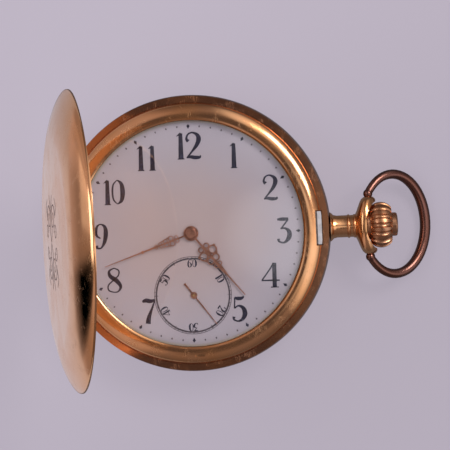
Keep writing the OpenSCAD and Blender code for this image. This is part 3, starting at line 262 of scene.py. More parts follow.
def smooth_copy(name, node_name, sharp_deg=SHARP_DEG):
    """A merged, smooth-shaded copy of a CAD node, for polished metal whose facets would show."""
    mesh = FRAME["nodes"][node_name].data.copy()
    mesh.name = name
    work = bmesh.new()
    work.from_mesh(mesh)
    bmesh.ops.remove_doubles(work, verts=work.verts, dist=1.5e-6)
    fresh = bpy.data.meshes.new(name)
    work.to_mesh(fresh)
    work.free()
    for attribute in [a.name for a in fresh.attributes if a.name == "custom_normal"]:
        fresh.attributes.remove(fresh.attributes[attribute])
    return link(name, rounded(fresh, sharp_deg))


def spline(points, steps):
    """Catmull-Rom samples through points of any length."""
    out = []
    last = len(points) - 1
    for i in range(last):
        p0, p1, p2, p3 = (points[max(i - 1, 0)], points[i], points[i + 1], points[min(i + 2, last)])
        for s in range(steps + (i == last - 1)):
            t = s / steps
            out.append(tuple(
                0.5 * (2 * b + (c - a) * t + (2 * a - 5 * b + 4 * c - d) * t * t
                       + (3 * b - a - 3 * c + d) * t ** 3)
                for a, b, c, d in zip(p0, p1, p2, p3)))
    return out


def ribbon(points, faces, line, thick, place):
    """Adds a flat closed ribbon along line, whose points are (x, y, width), lifted by place(x, y, z)."""
    first = len(points)
    count = len(line)
    for i, (x, y, w) in enumerate(line):
        ax, ay, _ = line[max(i - 1, 0)]
        bx, by, _ = line[min(i + 1, count - 1)]
        dx, dy = bx - ax, by - ay
        size = math.hypot(dx, dy) or 1.0
        nx, ny = -dy / size * w / 2, dx / size * w / 2
        for sx, sy, z in ((nx, ny, 0), (-nx, -ny, 0), (-nx, -ny, thick), (nx, ny, thick)):
            points.append(place(x + sx, y + sy, z))
    for i in range(count - 1):
        a, b = first + 4 * i, first + 4 * (i + 1)
        for j in range(4):
            k = (j + 1) % 4
            faces.append((a + j, b + j, b + k, a + k))
    faces.append((first, first + 1, first + 2, first + 3))
    end = first + 4 * (count - 1)
    faces.append((end + 3, end + 2, end + 1, end))


def outward(mesh):
    """The mesh with all its normals turned out of it."""
    work = bmesh.new()
    work.from_mesh(mesh)
    bmesh.ops.recalc_face_normals(work, faces=work.faces)
    work.to_mesh(mesh)
    work.free()
    return mesh


# Geometry nodes

def ring_of(name, seed_mesh, count, radius, material, skip=0, centre=(0, 0, 0)):
    """Copies of seed_mesh round a circle, each turned with it. skip=n leaves out every nth copy.

    The tree's inputs are the count, the radius and what is skipped, and the result is a plain mesh.
    """
    seed = link(name + "_seed", seed_mesh)
    tree = bpy.data.node_groups.new(name, "GeometryNodeTree")
    for label, kind in (("Count", "NodeSocketInt"), ("Radius", "NodeSocketFloat"), ("Skip", "NodeSocketInt")):
        tree.interface.new_socket(label, in_out="INPUT", socket_type=kind)
    tree.interface.new_socket("Geometry", in_out="OUTPUT", socket_type="NodeSocketGeometry")
    given = node(tree, "NodeGroupInput")
    circle = node(tree, "GeometryNodeMeshCircle", None, {"Vertices": given.outputs["Count"],
                                                        "Radius": given.outputs["Radius"]})
    index = Wire(tree, node(tree, "GeometryNodeInputIndex").outputs[0])
    skipped = Wire(tree, given.outputs["Skip"])
    turn = index / Wire(tree, given.outputs["Count"]) * (2 * math.pi)
    angles = node(tree, "ShaderNodeCombineXYZ", None, {2: turn})
    info = node(tree, "GeometryNodeObjectInfo", None, {"Object": seed})
    kept = index.math("MODULO", skipped).math("GREATER_THAN", 0.5)
    chosen = kept.math("MAXIMUM", skipped.math("LESS_THAN", 0.5))
    copies = node(tree, "GeometryNodeInstanceOnPoints", None,
                  {"Points": circle.outputs[0], "Instance": info.outputs["Geometry"],
                   "Rotation": angles.outputs[0], "Selection": chosen})
    real = node(tree, "GeometryNodeRealizeInstances", None, {0: copies.outputs[0]})
    painted = node(tree, "GeometryNodeSetMaterial", None, {0: real.outputs[0], "Material": material})
    node(tree, "NodeGroupOutput", None, {0: painted.outputs[0]})
    holder = link(name + "_holder", bpy.data.meshes.new(name + "_holder"))
    modifier = holder.modifiers.new(name, "NODES")
    modifier.node_group = tree
    wanted = {"Count": count, "Radius": float(radius), "Skip": skip}
    for item in tree.interface.items_tree:
        if item.in_out == "INPUT" and item.name in wanted:
            modifier[item.identifier] = wanted[item.name]
    bpy.context.view_layer.update()
    shown = holder.evaluated_get(bpy.context.evaluated_depsgraph_get())
    mesh = bpy.data.meshes.new_from_object(shown)
    mesh.transform(Matrix.Translation(centre))
    for extra in (holder, seed):
        bpy.data.objects.remove(extra)
    mesh.name = name
    return mesh


def joined(name, meshes):
    """One mesh from several."""
    work = bmesh.new()
    for mesh in meshes:
        work.from_mesh(mesh)
    whole = bpy.data.meshes.new(name)
    work.to_mesh(whole)
    work.free()
    return whole


# Settings

class CaseSettings(bpy.types.PropertyGroup):
    """Case, crown and bow"""
    gold: FloatVectorProperty(name="Gold", description="Colour of the case's gold", subtype="COLOR",
                              size=3, min=0, max=1, default=(0.86, 0.47, 0.24))
    # The bow's dark colour is painted shade, standing in for the dim room that its wire mirrors
    bow: FloatVectorProperty(name="Bow", description="Colour of the bow's shade_painted and darkened gold",
                             subtype="COLOR", size=3, min=0, max=1, default=(0.21, 0.10, 0.08))
    crown: FloatVectorProperty(name="Crown", description="Colour of the crown's duller gold",
                               subtype="COLOR", size=3, min=0, max=1, default=(0.56, 0.30, 0.18))
    # The band's colour is darkened as painted shade, standing in for the dim room that it mirrors
    band: FloatVectorProperty(name="Band", description="Colour of the band's shade_darkened gold",
                              subtype="COLOR", size=3, min=0, max=1, default=(0.56, 0.27, 0.15))
    polish: FloatProperty(name="Roughness", description="Roughness of the polished gold",
                          subtype="FACTOR", min=0, max=1, default=0.13)
    cut_width: FloatProperty(name="Engraved line", description="Widest line of the cover's engraving",
                             unit="LENGTH", min=0.00005, max=0.0006, default=0.00026)


class DialSettings(bpy.types.PropertyGroup):
    """Dial, hands and crystal"""
    # The enamel's grey, darker than white enamel, is painted shade of a less lit dial
    enamel: FloatVectorProperty(name="Enamel", description="Colour of the enamel", subtype="COLOR",
                                size=3, min=0, max=1, default=(0.49, 0.415, 0.435))
    ink: FloatVectorProperty(name="Ink", description="Colour of the fired numerals", subtype="COLOR",
                             size=3, min=0, max=1, default=(0.008, 0.008, 0.026))
    grey: FloatVectorProperty(name="Grey ink", description="Colour of the fine lines and minute marks",
                              subtype="COLOR", size=3, min=0, max=1, default=(0.075, 0.06, 0.075))
    bold: FloatProperty(name="Numeral weight", description="Share by which the numerals' strokes are widened",
                        min=0.5, max=2, default=1.28)
    hands: FloatVectorProperty(name="Hands", description="Colour of the hands' red gold", subtype="COLOR",
                               size=3, min=0, max=1, default=(0.62, 0.31, 0.22))
    numeral: FloatProperty(name="Numeral height", description="Height of the hour numerals",
                           unit="LENGTH", min=0.002, max=0.006, default=0.0046)
    print_turn: FloatProperty(name="Print turn", description="Turn of the dial's print against the pendant",
                              subtype="ANGLE", default=-0.0174)


class MovementSettings(bpy.types.PropertyGroup):
    """Movement and springs"""
    gilt: FloatVectorProperty(name="Gilding", description="Colour of the frosted gilding", subtype="COLOR",
                              size=3, min=0, max=1, default=(0.80, 0.58, 0.28))
    steel: FloatVectorProperty(name="Steel", description="Colour of the polished steel", subtype="COLOR",
                               size=3, min=0, max=1, default=(0.56, 0.56, 0.58))
    blue: FloatVectorProperty(name="Blued steel", description="Colour of heat-blued steel", subtype="COLOR",
                              size=3, min=0, max=1, default=(0.03, 0.06, 0.24))
    ruby: FloatVectorProperty(name="Ruby", description="Colour of the jewels", subtype="COLOR",
                              size=3, min=0, max=1, default=(0.42, 0.02, 0.06))
    stripe: FloatProperty(name="Stripe pitch", description="Distance between the stripes on the bridges",
                          unit="LENGTH", min=0.0003, max=0.004, default=0.0014)


class StageSettings(bpy.types.PropertyGroup):
    """Floor, light and camera"""
    floor: FloatVectorProperty(name="Floor", description="Colour of the floor", subtype="COLOR",
                               size=3, min=0, max=1, default=(0.50, 0.45, 0.53))
    lens: FloatProperty(name="Lens", description="Focal length of the camera", unit="CAMERA", min=20,
                        max=400, default=99.0)
    distance: FloatProperty(name="Distance", description="Distance from the camera to the dial's level",
                            unit="LENGTH", min=0.1, max=1, default=0.226)
    softbox: FloatProperty(name="Softbox", description="Power of the key softbox", unit="POWER", min=0,
                           default=0.9)


def settings(kind):
    """The settings of one group: case, dial, movement or stage."""
    return getattr(bpy.context.scene, "watch_" + kind)


# Finishes

def gold_finish(name, roughness=None, tint=None, outside=None):
    """Polished gold: slow changes of colour and gloss, hairline scratches and a faint orange peel.

    Faces turned away from the direction outside, where one is given, are rougher, like satin, and darkened by
    painted shade.
    """
    chosen = settings("case")
    colour = tuple(tint or chosen.gold)
    base_rough = chosen.polish if roughness is None else roughness
    f = Finish(name)
    slow = f.noise(140.0, 2.0)
    fine = f.noise(2200.0, 3.0)
    marks = f.scratches(5200.0, (0.2, 0.1, 0.7)).math("MAXIMUM", f.scratches(4300.0, (0.1, 0.3, -0.9)))
    marks = marks * f.noise(420.0, 2.0).between(0.50, 0.62)
    dark = tuple(c * 0.72 for c in colour)
    red = (colour[0] * 0.98, colour[1] * 0.90, colour[2] * 0.78)
    base = f.blend(slow.between(0.35, 0.68), colour, red)
    base = f.blend(fine.between(0.60, 0.78, 0.0, 0.35), base, dark)
    rough = base_rough + slow.between(0.35, 0.7, 0.0, 0.07) + marks * 0.16
    if outside:
        facing = f.add("ShaderNodeVectorMath", {"operation": "DOT_PRODUCT"},
                       {0: f.add("ShaderNodeTexCoord", out="Normal"), 1: outside}, out="Value")
        satin_and_shade = facing.between(-0.1, -0.5)
        # Painted shade darkens the faces turned away from outside; their added roughness is their real finish
        base = f.blend(satin_and_shade * 0.9, base, tuple(c * 0.55 for c in colour))
        rough = rough + satin_and_shade * 0.30
    height = fine * 0.15 - marks * 0.6
    return f.surface(Base_Color=base, Metallic=1.0, Roughness=rough,
                     Normal=f.bump(height, 0.000006, 0.5))


# Radius of the enamel that shows inside the bezel, and the radii between which its edge is painted yellower, as
# shade and gold reflection from the bezel
ENAMEL_R = 0.0205
ENAMEL_PAINTED_EDGE = (0.0200, 0.0207)


def enamel_finish():
    """Fired enamel: a milky ground with small specks, its grey a painted shade, warmer in the middle, with painted
    reflection that makes it lighter and bluer at the rim, and painted shade and gold reflection that make its edge
    by the bezel yellower.
    """
    colour = tuple(settings("dial").enamel)
    f = Finish("dial_enamel")
    x, y, _ = f.parts()
    radius = (x * x + y * y).math("SQRT")
    painted_rim_reflection = (colour[0] * 1.02, colour[1] * 1.10, colour[2] * 1.20)
    warm = (colour[0] * 1.06, colour[1] * 0.99, colour[2] * 0.95)
    cloud = f.noise(60.0, 3.0)
    # Painted reflection: the enamel turns lighter and bluer towards the rim
    base = f.blend((radius / ENAMEL_R + cloud * 0.3).between(0.35, 1.15), warm, painted_rim_reflection)
    # Painted shade and gold reflection: the edge by the bezel turns yellower and darker
    edge = (colour[0] * 0.95, colour[1] * 0.93, colour[2] * 0.60)
    base = f.blend(radius.between(*ENAMEL_PAINTED_EDGE, 0.0, 0.75), base, edge)
    cells = f.add("ShaderNodeTexVoronoi", None, {"Vector": f.place, "Scale": 260.0})
    base = f.blend(cells.between(0.035, 0.02, 0.0, 0.25), base, (0.10, 0.07, 0.07))
    peel = f.noise(700.0, 2.0)
    return f.surface(Base_Color=base, Roughness=0.16 + peel * 0.05, Coat_Weight=0.5, Coat_Roughness=0.04,
                     Normal=f.bump(peel, 0.000004, 0.4))


def ink_finish(name, colour):
    """Fired ink, slightly uneven."""
    f = Finish(name)
    uneven = f.noise(1800.0, 3.0)
    base = f.blend(uneven.between(0.45, 0.75), colour, tuple(min(1, c * 2.2 + 0.01) for c in colour))
    return f.surface(Base_Color=base, Roughness=0.32 + uneven * 0.15)


def hands_finish():
    """Red gold of the hands, dulled with age."""
    colour = tuple(settings("dial").hands)
    f = Finish("red_gold")
    tone = f.noise(900.0, 3.0)
    base = f.blend(tone.between(0.35, 0.7), colour, tuple(c * 0.62 for c in colour))
    return f.surface(Base_Color=base, Metallic=1.0, Roughness=0.30 + tone * 0.12,
                     Normal=f.bump(tone, 0.000006, 0.5))


def glass_finish():
    """Clear crystal. Rays on their way to a lamp pass straight through it, so the dial is lit."""
    f = Finish("crystal_glass")
    wipe = f.noise(90.0, 2.0)
    shader = node(f.tree, "ShaderNodeBsdfPrincipled", None,
                  {"Base Color": (1, 1, 1, 1), "Roughness": wipe.between(0.4, 0.8, 0.0, 0.03),
                   "IOR": 1.5, "Transmission Weight": 1.0})
    clear = node(f.tree, "ShaderNodeBsdfTransparent", None, {0: (0.97, 0.97, 0.97, 1)})
    path = node(f.tree, "ShaderNodeLightPath")
    lamp = Wire(f.tree, path.outputs["Is Shadow Ray"])
    lit = lamp.math("MAXIMUM", Wire(f.tree, path.outputs["Is Diffuse Ray"]))
    mixed = node(f.tree, "ShaderNodeMixShader", None, {0: lit, 1: shader.outputs[0], 2: clear.outputs[0]})
    f.tree.links.new(mixed.outputs[0], f.output.inputs[0])
    return f.material


def gilt_finish(name, stripes=False, circles=False):
    """Frosted gilding, with straight stripes on the bridges or turned circles on the wheels."""
    chosen = settings("movement")
    colour = tuple(chosen.gilt)
    f = Finish(name)
    frost = f.noise(9000.0, 2.0)
    slow = f.noise(160.0, 2.0)
    aged = (colour[0] * 0.92, colour[1] * 0.84, colour[2] * 0.72)
    base = f.blend(slow.between(0.3, 0.7), colour, aged)
    base = f.blend(frost.between(0.55, 0.75, 0.0, 0.3), base, tuple(c * 0.6 for c in colour))
    height = frost * 0.5
    if stripes:
        x, y, _ = f.parts()
        across = (x * 0.6 + y * 0.8) / chosen.stripe
        height = height + across.math("PINGPONG", 1.0) * 2.0
    if circles:
        height = height + f.add("ShaderNodeTexWave", {"wave_type": "RINGS", "rings_direction": "Z"},
                                {"Vector": f.place, "Scale": 900.0, "Distortion": 0.6}) * 0.5
    return f.surface(Base_Color=base, Metallic=1.0, Roughness=0.30 + frost * 0.12,
                     Normal=f.bump(height, 0.000012, 0.55))


def steel_finish(name, colour, roughness=0.16, grain=True):
    """Polished steel, with a straight grain or with an even, finer one."""
    f = Finish(name)
    lines = f.noise(1.0, 2.0, stretch=(9000.0, 700.0, 9000.0)) if grain else f.noise(2500.0)
    tone = f.noise(700.0, 2.0)
    base = f.blend(tone.between(0.35, 0.7), colour, tuple(c * 0.8 for c in colour))
    return f.surface(Base_Color=base, Metallic=1.0, Roughness=roughness + lines * 0.12,
                     Normal=f.bump(lines, 0.000004, 0.4))


def ruby_finish():
    """Clear red stone, deeper in places."""
    f = Finish("ruby")
    depth = f.noise(1500.0, 2.0)
    colour = tuple(settings("movement").ruby)
    base = f.blend(depth.between(0.3, 0.7), colour, tuple(min(1, c * 1.8) for c in colour))
    return f.surface(Base_Color=base, Roughness=0.06 + depth * 0.05, Coat_Weight=1.0, Coat_Roughness=0.03)


def engraving_finish():
    """The dark of a cut line as painted shade, with grey at its bottom"""
    f = Finish("engraved_line")
    tone = f.noise(1500.0, 3.0)
    base = f.blend(tone.between(0.35, 0.7), (0.16, 0.11, 0.10), (0.34, 0.27, 0.26))
    return f.surface(Base_Color=base, Metallic=0.6, Roughness=0.5 + tone * 0.2)


# Dial print

# Numerals as strokes of (x, y, width), a numeral being one unit high
GLYPHS = {
    "0": [[(0.22, 0.98, 0.03), (0.06, 0.80, 0.05), (0.02, 0.50, 0.06), (0.06, 0.20, 0.05),
           (0.22, 0.02, 0.03)],
          [(0.22, 0.02, 0.03), (0.38, 0.17, 0.11), (0.43, 0.50, 0.15), (0.38, 0.83, 0.11),
           (0.22, 0.98, 0.03)]],
    "1": [[(0.10, 0.02, 0.15), (0.10, 0.50, 0.13), (0.10, 0.97, 0.11)],
          [(-0.03, 0.01, 0.03), (0.23, 0.01, 0.03)],
          [(-0.05, 0.86, 0.02), (0.05, 0.93, 0.05), (0.11, 0.98, 0.05)]],
    "2": [[(0.11, 0.66, 0.11), (0.04, 0.76, 0.07), (0.10, 0.92, 0.05), (0.26, 0.985, 0.05),
           (0.44, 0.90, 0.10), (0.50, 0.74, 0.14), (0.42, 0.52, 0.11), (0.24, 0.28, 0.06),
           (0.05, 0.06, 0.04)],
          [(0.03, 0.05, 0.04), (0.18, 0.08, 0.09), (0.34, 0.05, 0.11), (0.52, 0.06, 0.08),
           (0.55, 0.13, 0.03)]],
    "3": [[(0.02, 0.93, 0.06), (0.22, 0.94, 0.11), (0.46, 0.94, 0.09)],
          [(0.45, 0.93, 0.05), (0.16, 0.56, 0.045)],
          [(0.14, 0.56, 0.04), (0.32, 0.58, 0.06), (0.48, 0.44, 0.13), (0.46, 0.20, 0.14), (0.28, 0.02, 0.06),
           (0.08, 0.06, 0.06), (0.05, 0.17, 0.09)]],
    "4": [[(0.40, 0.97, 0.05), (0.20, 0.62, 0.045), (0.00, 0.30, 0.045)],
          [(-0.02, 0.28, 0.045), (0.30, 0.28, 0.05), (0.58, 0.28, 0.045)],
          [(0.41, 0.02, 0.13), (0.41, 0.50, 0.13), (0.41, 0.97, 0.13)],
          [(0.28, 0.01, 0.03), (0.54, 0.01, 0.03)]],
    "5": [[(0.08, 0.95, 0.05), (0.20, 0.91, 0.11), (0.36, 0.92, 0.10), (0.46, 0.99, 0.03)],
          [(0.09, 0.95, 0.045), (0.08, 0.72, 0.04), (0.07, 0.52, 0.04)],
          [(0.07, 0.52, 0.04), (0.24, 0.62, 0.06), (0.42, 0.52, 0.12), (0.48, 0.30, 0.15), (0.38, 0.09, 0.10),
           (0.20, 0.01, 0.05), (0.04, 0.08, 0.06), (0.04, 0.19, 0.10)]],
    "6": [[(0.42, 0.90, 0.07), (0.28, 0.98, 0.04), (0.10, 0.76, 0.08), (0.04, 0.40, 0.12), (0.10, 0.12, 0.10),
           (0.24, 0.02, 0.04), (0.40, 0.14, 0.09), (0.43, 0.34, 0.12), (0.34, 0.54, 0.07), (0.20, 0.58, 0.04),
           (0.08, 0.44, 0.04)]],
    "7": [[(-0.01, 0.90, 0.07), (0.14, 0.95, 0.13), (0.32, 0.92, 0.12), (0.50, 0.97, 0.06)],
          [(0.49, 0.95, 0.04), (0.36, 0.60, 0.07), (0.24, 0.28, 0.13), (0.20, 0.02, 0.16)]],
    "8": [[(0.25, 0.98, 0.035), (0.09, 0.87, 0.07), (0.12, 0.66, 0.12), (0.32, 0.48, 0.14),
           (0.45, 0.25, 0.10), (0.38, 0.06, 0.05), (0.24, 0.02, 0.035), (0.06, 0.10, 0.045),
           (0.05, 0.30, 0.045), (0.22, 0.50, 0.045), (0.38, 0.68, 0.045), (0.40, 0.88, 0.045),
           (0.25, 0.98, 0.035)]],
    "9": [[(0.22, 0.42, 0.04), (0.08, 0.52, 0.07), (0.04, 0.70, 0.10), (0.10, 0.90, 0.07), (0.24, 0.98, 0.04),
           (0.40, 0.88, 0.10), (0.44, 0.62, 0.14), (0.38, 0.28, 0.11), (0.24, 0.04, 0.05), (0.08, 0.04, 0.07),
           (0.06, 0.14, 0.10)]],
}
# Step from a numeral to the next, steps of close pairs, widening and widths, all in heights
ADVANCE = {"0": 0.60, "1": 0.34, "2": 0.68, "3": 0.62, "4": 0.68, "5": 0.62, "6": 0.60, "7": 0.62,
           "8": 0.60, "9": 0.60}
PAIRS = {"12": 0.28, "10": 0.28, "11": 0.46}
STRETCH = {"4": 1.2, "8": 1.22}
WIDTH = {"0": 0.47, "1": 0.20, "2": 0.56, "3": 0.52, "4": 0.56, "5": 0.52, "6": 0.48, "7": 0.50,
         "8": 0.49, "9": 0.48}
# Thickness of the fired ink and its height above the enamel
INK_T = 0.000018
INK_LIFT = 0.000004


def number(points, faces, text, centre, height, turn=0.0, bold=1.0):
    """Adds a number of ribbon strokes, its middle at centre, its top turned by turn."""
    steps = [PAIRS.get(text[i:i + 2], ADVANCE[c]) for i, c in enumerate(text)]
    total = sum(steps[:-1]) + WIDTH[text[-1]] * STRETCH.get(text[-1], 1.0)
    start = -total / 2
    cos, sin = math.cos(turn), math.sin(turn)
    for c, step in zip(text, steps):
        wide = STRETCH.get(c, 1.0)
        for stroke in GLYPHS[c]:
            line = [((x * wide + start) * height, (y - 0.5) * height, w * height * bold)
                    for x, y, w in spline(stroke, 7)]
            ribbon(points, faces, line, INK_T,
                   lambda x, y, z: (centre[0] + x * cos - y * sin, centre[1] + x * sin + y * cos,
                                    DIAL_TOP + INK_LIFT + z))
        start += step


def mark(name, outline):
    """A thin closed plate with this outline, for one printed mark."""
    n = len(outline)
    low, high = DIAL_TOP + INK_LIFT, DIAL_TOP + INK_LIFT + INK_T
    points = [(x, y, z) for z in (low, high) for x, y in outline]
    faces = [list(range(n))[::-1], list(range(n, 2 * n))]
    faces += [(i, (i + 1) % n, n + (i + 1) % n, n + i) for i in range(n)]
    return make_mesh(name, points, faces)


def circle_line(points, faces, centre, radius, width, steps=144):
    """A printed circle as one closed band."""
    first = len(points)
    low, high = DIAL_TOP + INK_LIFT, DIAL_TOP + INK_LIFT + INK_T
    for k in range(steps):
        a = 2 * math.pi * k / steps
        for r, z in ((radius - width / 2, low), (radius + width / 2, low), (radius + width / 2, high),
                     (radius - width / 2, high)):
            points.append((centre[0] + r * math.cos(a), centre[1] + r * math.sin(a), z))
    for k in range(steps):
        a, b = first + 4 * k, first + 4 * ((k + 1) % steps)
        for j in range(4):
            faces.append((a + j, a + (j + 1) % 4, b + (j + 1) % 4, b + j))


# Middles of the hour numerals in mm from the dial's centre, at the height that each is drawn
HOURS = {12: (0.12, 16.02), 1: (8.21, 14.00), 2: (14.63, 7.96), 3: (16.87, 0.12), 4: (14.28, -7.90),
         5: (8.42, -13.95), 7: (-8.15, -14.14), 8: (-14.43, -8.20), 9: (-16.65, -0.10), 10: (-13.93, 7.94),
         11: (-7.78, 14.00)}
HEIGHT_OF_12 = 1.06
MARK_R = 0.01960
SUB_R = 0.00708
SUB_NUMBER_R = 0.00585
SUB_NUMBER_HEIGHT = 0.00148
SUB_NUMBER_WEIGHT = 1.5
# Printed circles of the small seconds: radius and line width
SUB_CIRCLES = ((SUB_R, 0.00010), (SUB_R - 0.00036, 0.00030))


def bar(inward, beyond, width):
    """Outline of a bar along X, which reaches inward and beyond the circle that it stands on."""
    return [(-inward, -width / 2), (beyond, -width / 2), (beyond, width / 2), (-inward, width / 2)]


def diamond(inward, beyond, width):
    """Outline of a diamond along X, with its reach inward and beyond as for the bar."""
    return [(-inward, 0.0), (0.0, -width / 2), (beyond, 0.0), (0.0, width / 2)]


class WATCH_OT_dial(bpy.types.Operator):
    """Enamel, printed numerals, minute marks and the small seconds ring"""
    bl_idname = "watch.dial"
    bl_label = "Dial"

    def execute(self, context):
        chosen = settings("dial")
        FRAME["nodes"]["dial"].data.materials[0] = enamel_finish()
        ink = ink_finish("dial_ink", tuple(chosen.ink))
        points, faces = [], []
        for hour, (x, y) in HOURS.items():
            height = chosen.numeral * (HEIGHT_OF_12 if hour == 12 else 1.0)
            number(points, faces, str(hour), (x * MM, y * MM), height, bold=chosen.bold)
        for k in range(1, 7):
            a = math.radians(90 - 60 * k)
            place = (SECONDS_AT[0] + SUB_NUMBER_R * math.cos(a), SECONDS_AT[1] + SUB_NUMBER_R * math.sin(a))
            number(points, faces, str(10 * k), place, SUB_NUMBER_HEIGHT, a - math.pi / 2, SUB_NUMBER_WEIGHT)
        bold_print = make_mesh("print_strokes", points, faces)
        points, faces = [], []
        for r, w in SUB_CIRCLES:
            circle_line(points, faces, SECONDS_AT, r, w)
        fine_print = make_mesh("print_circles", points, faces)
        long_tick = mark("tick_long", bar(0.00072, 0.00003, 0.00012))
        short_tick = mark("tick_short", bar(0.00052, 0.0, 0.00007))
        hour_mark = mark("hour_mark", diamond(0.00055, 0.00036, 0.00060))
        minute_mark = mark("minute_mark", diamond(0.00026, 0.00020, 0.00034))
        fine = ink_finish("dial_ink_grey", tuple(chosen.grey))
        centre = (*SECONDS_AT, 0)
        prints = {
            "dial_print": (ink, [bold_print, ring_of("hour_marks", hour_mark, 12, MARK_R, ink)]),
            "dial_fine_print": (fine, [
                fine_print,
                ring_of("minute_marks", minute_mark, 60, MARK_R, fine, skip=5),
                ring_of("second_ticks", short_tick, 60, SUB_R, fine, centre=centre),
                ring_of("five_second_ticks", long_tick, 12, SUB_R, fine, centre=centre)]),
        }
        for name, (material, meshes) in prints.items():
            whole = joined(name, meshes)
            whole.transform(Matrix.Rotation(chosen.print_turn, 4, "Z"))
            dress(link(name, outward(whole)), material, "case", "dial_enamel")
        return {"FINISHED"}


class WATCH_OT_hands(bpy.types.Operator):
    """Red gold for the three hands"""
    bl_idname = "watch.hands"
    bl_label = "Hands"

    def execute(self, context):
        finish = hands_finish()
        for name in ("hour_hand", "minute_hand", "seconds_hand"):
            FRAME["nodes"][name].data.materials[0] = finish
        return {"FINISHED"}


# The crystal in metres: its flange, the dome's rise and thickness, and the gap to the bezel's lip
FLANGE = 0.00068
DOME_RISE = 0.0015
DOME_T = 0.0007
LIP_GAP = 0.00005
# Height of the flange's top above the bezel's foot
SHELF_UP = 0.00122
# Points along half of the dome and steps round it
DOME_STEPS = 22
DOME_TURNS = 160


class WATCH_OT_crystal(bpy.types.Operator):
    """The domed crystal, turned smooth"""
    bl_idname = "watch.crystal"
    bl_label = "Crystal"

    def execute(self, context):
        low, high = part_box("crystal")
        radius = high.y
        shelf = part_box("bezel")[0].z + SHELF_UP
        opening = radius - FLANGE
        outer = (opening ** 2 + DOME_RISE ** 2) / (2 * DOME_RISE)
        inner = outer - DOME_T
        centre_z = high.z - outer
        inner_edge = min(math.sqrt(inner ** 2 - (low.z - centre_z) ** 2), radius - 0.0002)

        def dome(ball, edge, i):
            r = edge * i / DOME_STEPS
            return r, centre_z + math.sqrt(ball ** 2 - r ** 2)

        profile = [dome(outer, opening - LIP_GAP, i) for i in range(DOME_STEPS + 1)]
        profile += [(opening - LIP_GAP, shelf), (radius, shelf), (radius, low.z)]
        profile += [dome(inner, inner_edge, i) for i in range(DOME_STEPS, -1, -1)]
        piece = spun("crystal_dome", profile, DOME_TURNS)
        dress(piece, glass_finish(), "case", "crystal_glass", "crystal")
        return {"FINISHED"}


class WATCH_OT_case(bpy.types.Operator):
    """Polished gold for the bezel, covers and pendant, and a darker one for the band, its darkness painted shade
    """
    bl_idname = "watch.case"
    bl_label = "Case"

    def execute(self, context):
        gold = gold_finish("case_gold")
        # The front cover's faces turned away from outside get painted shade
        outside = (-math.sin(LID_OPEN), 0.0, math.cos(LID_OPEN))
        # The band's darker tint is painted shade
        own = {"front_cover": gold_finish("cover_gold", outside=outside),
               "case_band": gold_finish("band_gold", tint=settings("case").band)}
        for name in ("case_band", "bezel", "front_cover", "back_cover", "inner_cover", "pendant"):
            material = own.get(name, gold)
            dress(smooth_copy(name + "_polished", name), material, BODY_OF[name], "case_gold", name)
        return {"FINISHED"}


class WATCH_OT_bow(bpy.types.Operator):
    """Gold for the bow's wire, darkened as painted shade"""
    bl_idname = "watch.bow"
    bl_label = "Bow"

    def execute(self, context):
        # Painted shade: the bow's gold is darkened
        bow_gold = gold_finish("bow_gold", 0.22, tint=settings("case").bow)
        dress(smooth_copy("bow_polished", "bow", 50), bow_gold, "bow", "case_gold", "bow")
        return {"FINISHED"}


class WATCH_OT_crown(bpy.types.Operator):
    """Duller gold for the fluted crown"""
    bl_idname = "watch.crown"
    bl_label = "Crown"

    def execute(self, context):
        crown_gold = gold_finish("crown_gold", 0.25, tint=settings("case").crown)
        dress(smooth_copy("crown_polished", "crown"), crown_gold, "crown", "case_gold", "crown")
        return {"FINISHED"}


# The front cover: its rim below its hinge's axis, its depth, and the crown of its face within a radius
LID_RIM_DROP = 0.00005
LID_DEPTH = 0.0035
LID_CROWN = 0.0004
LID_FACE_R = 0.0170

# Thickness of the engraving's dark lines and their height above the cover
CUT_T = 0.000012
CUT_LIFT = 0.000006
# Scrolls and sprigs of one quarter of the engraving, in mm. A scroll has its centre, its radius, the turns
# that it makes, the share by which it closes, and its width. A sprig has points with their widths.
SCROLLS = ((2.6, 4.0, 2.4, 1.6, 0.86, 1.0), (5.2, 1.6, 1.5, 1.3, 0.85, 0.8))
STEM = ((0.0, 0.0, 0.3), (1.2, 2.2, 1.0), (0.6, 5.5, 1.1), (1.7, 7.8, 0.3))
LEAF = ((5.0, 4.0, 0.3), (6.2, 5.8, 0.8), (4.8, 7.2, 0.25))


def lid_face(x, y, lift):
    """A point on the front cover's outside, given on the closed cover in metres, and opened with it."""
    top = LID_HINGE.z - LID_RIM_DROP + LID_DEPTH
    r = math.hypot(x, y)
    closed = Vector((x, y, top - LID_CROWN * (r / LID_FACE_R) ** 2 + lift)) - LID_HINGE
    return Matrix.Rotation(-LID_OPEN, 3, "Y") @ closed + LID_HINGE


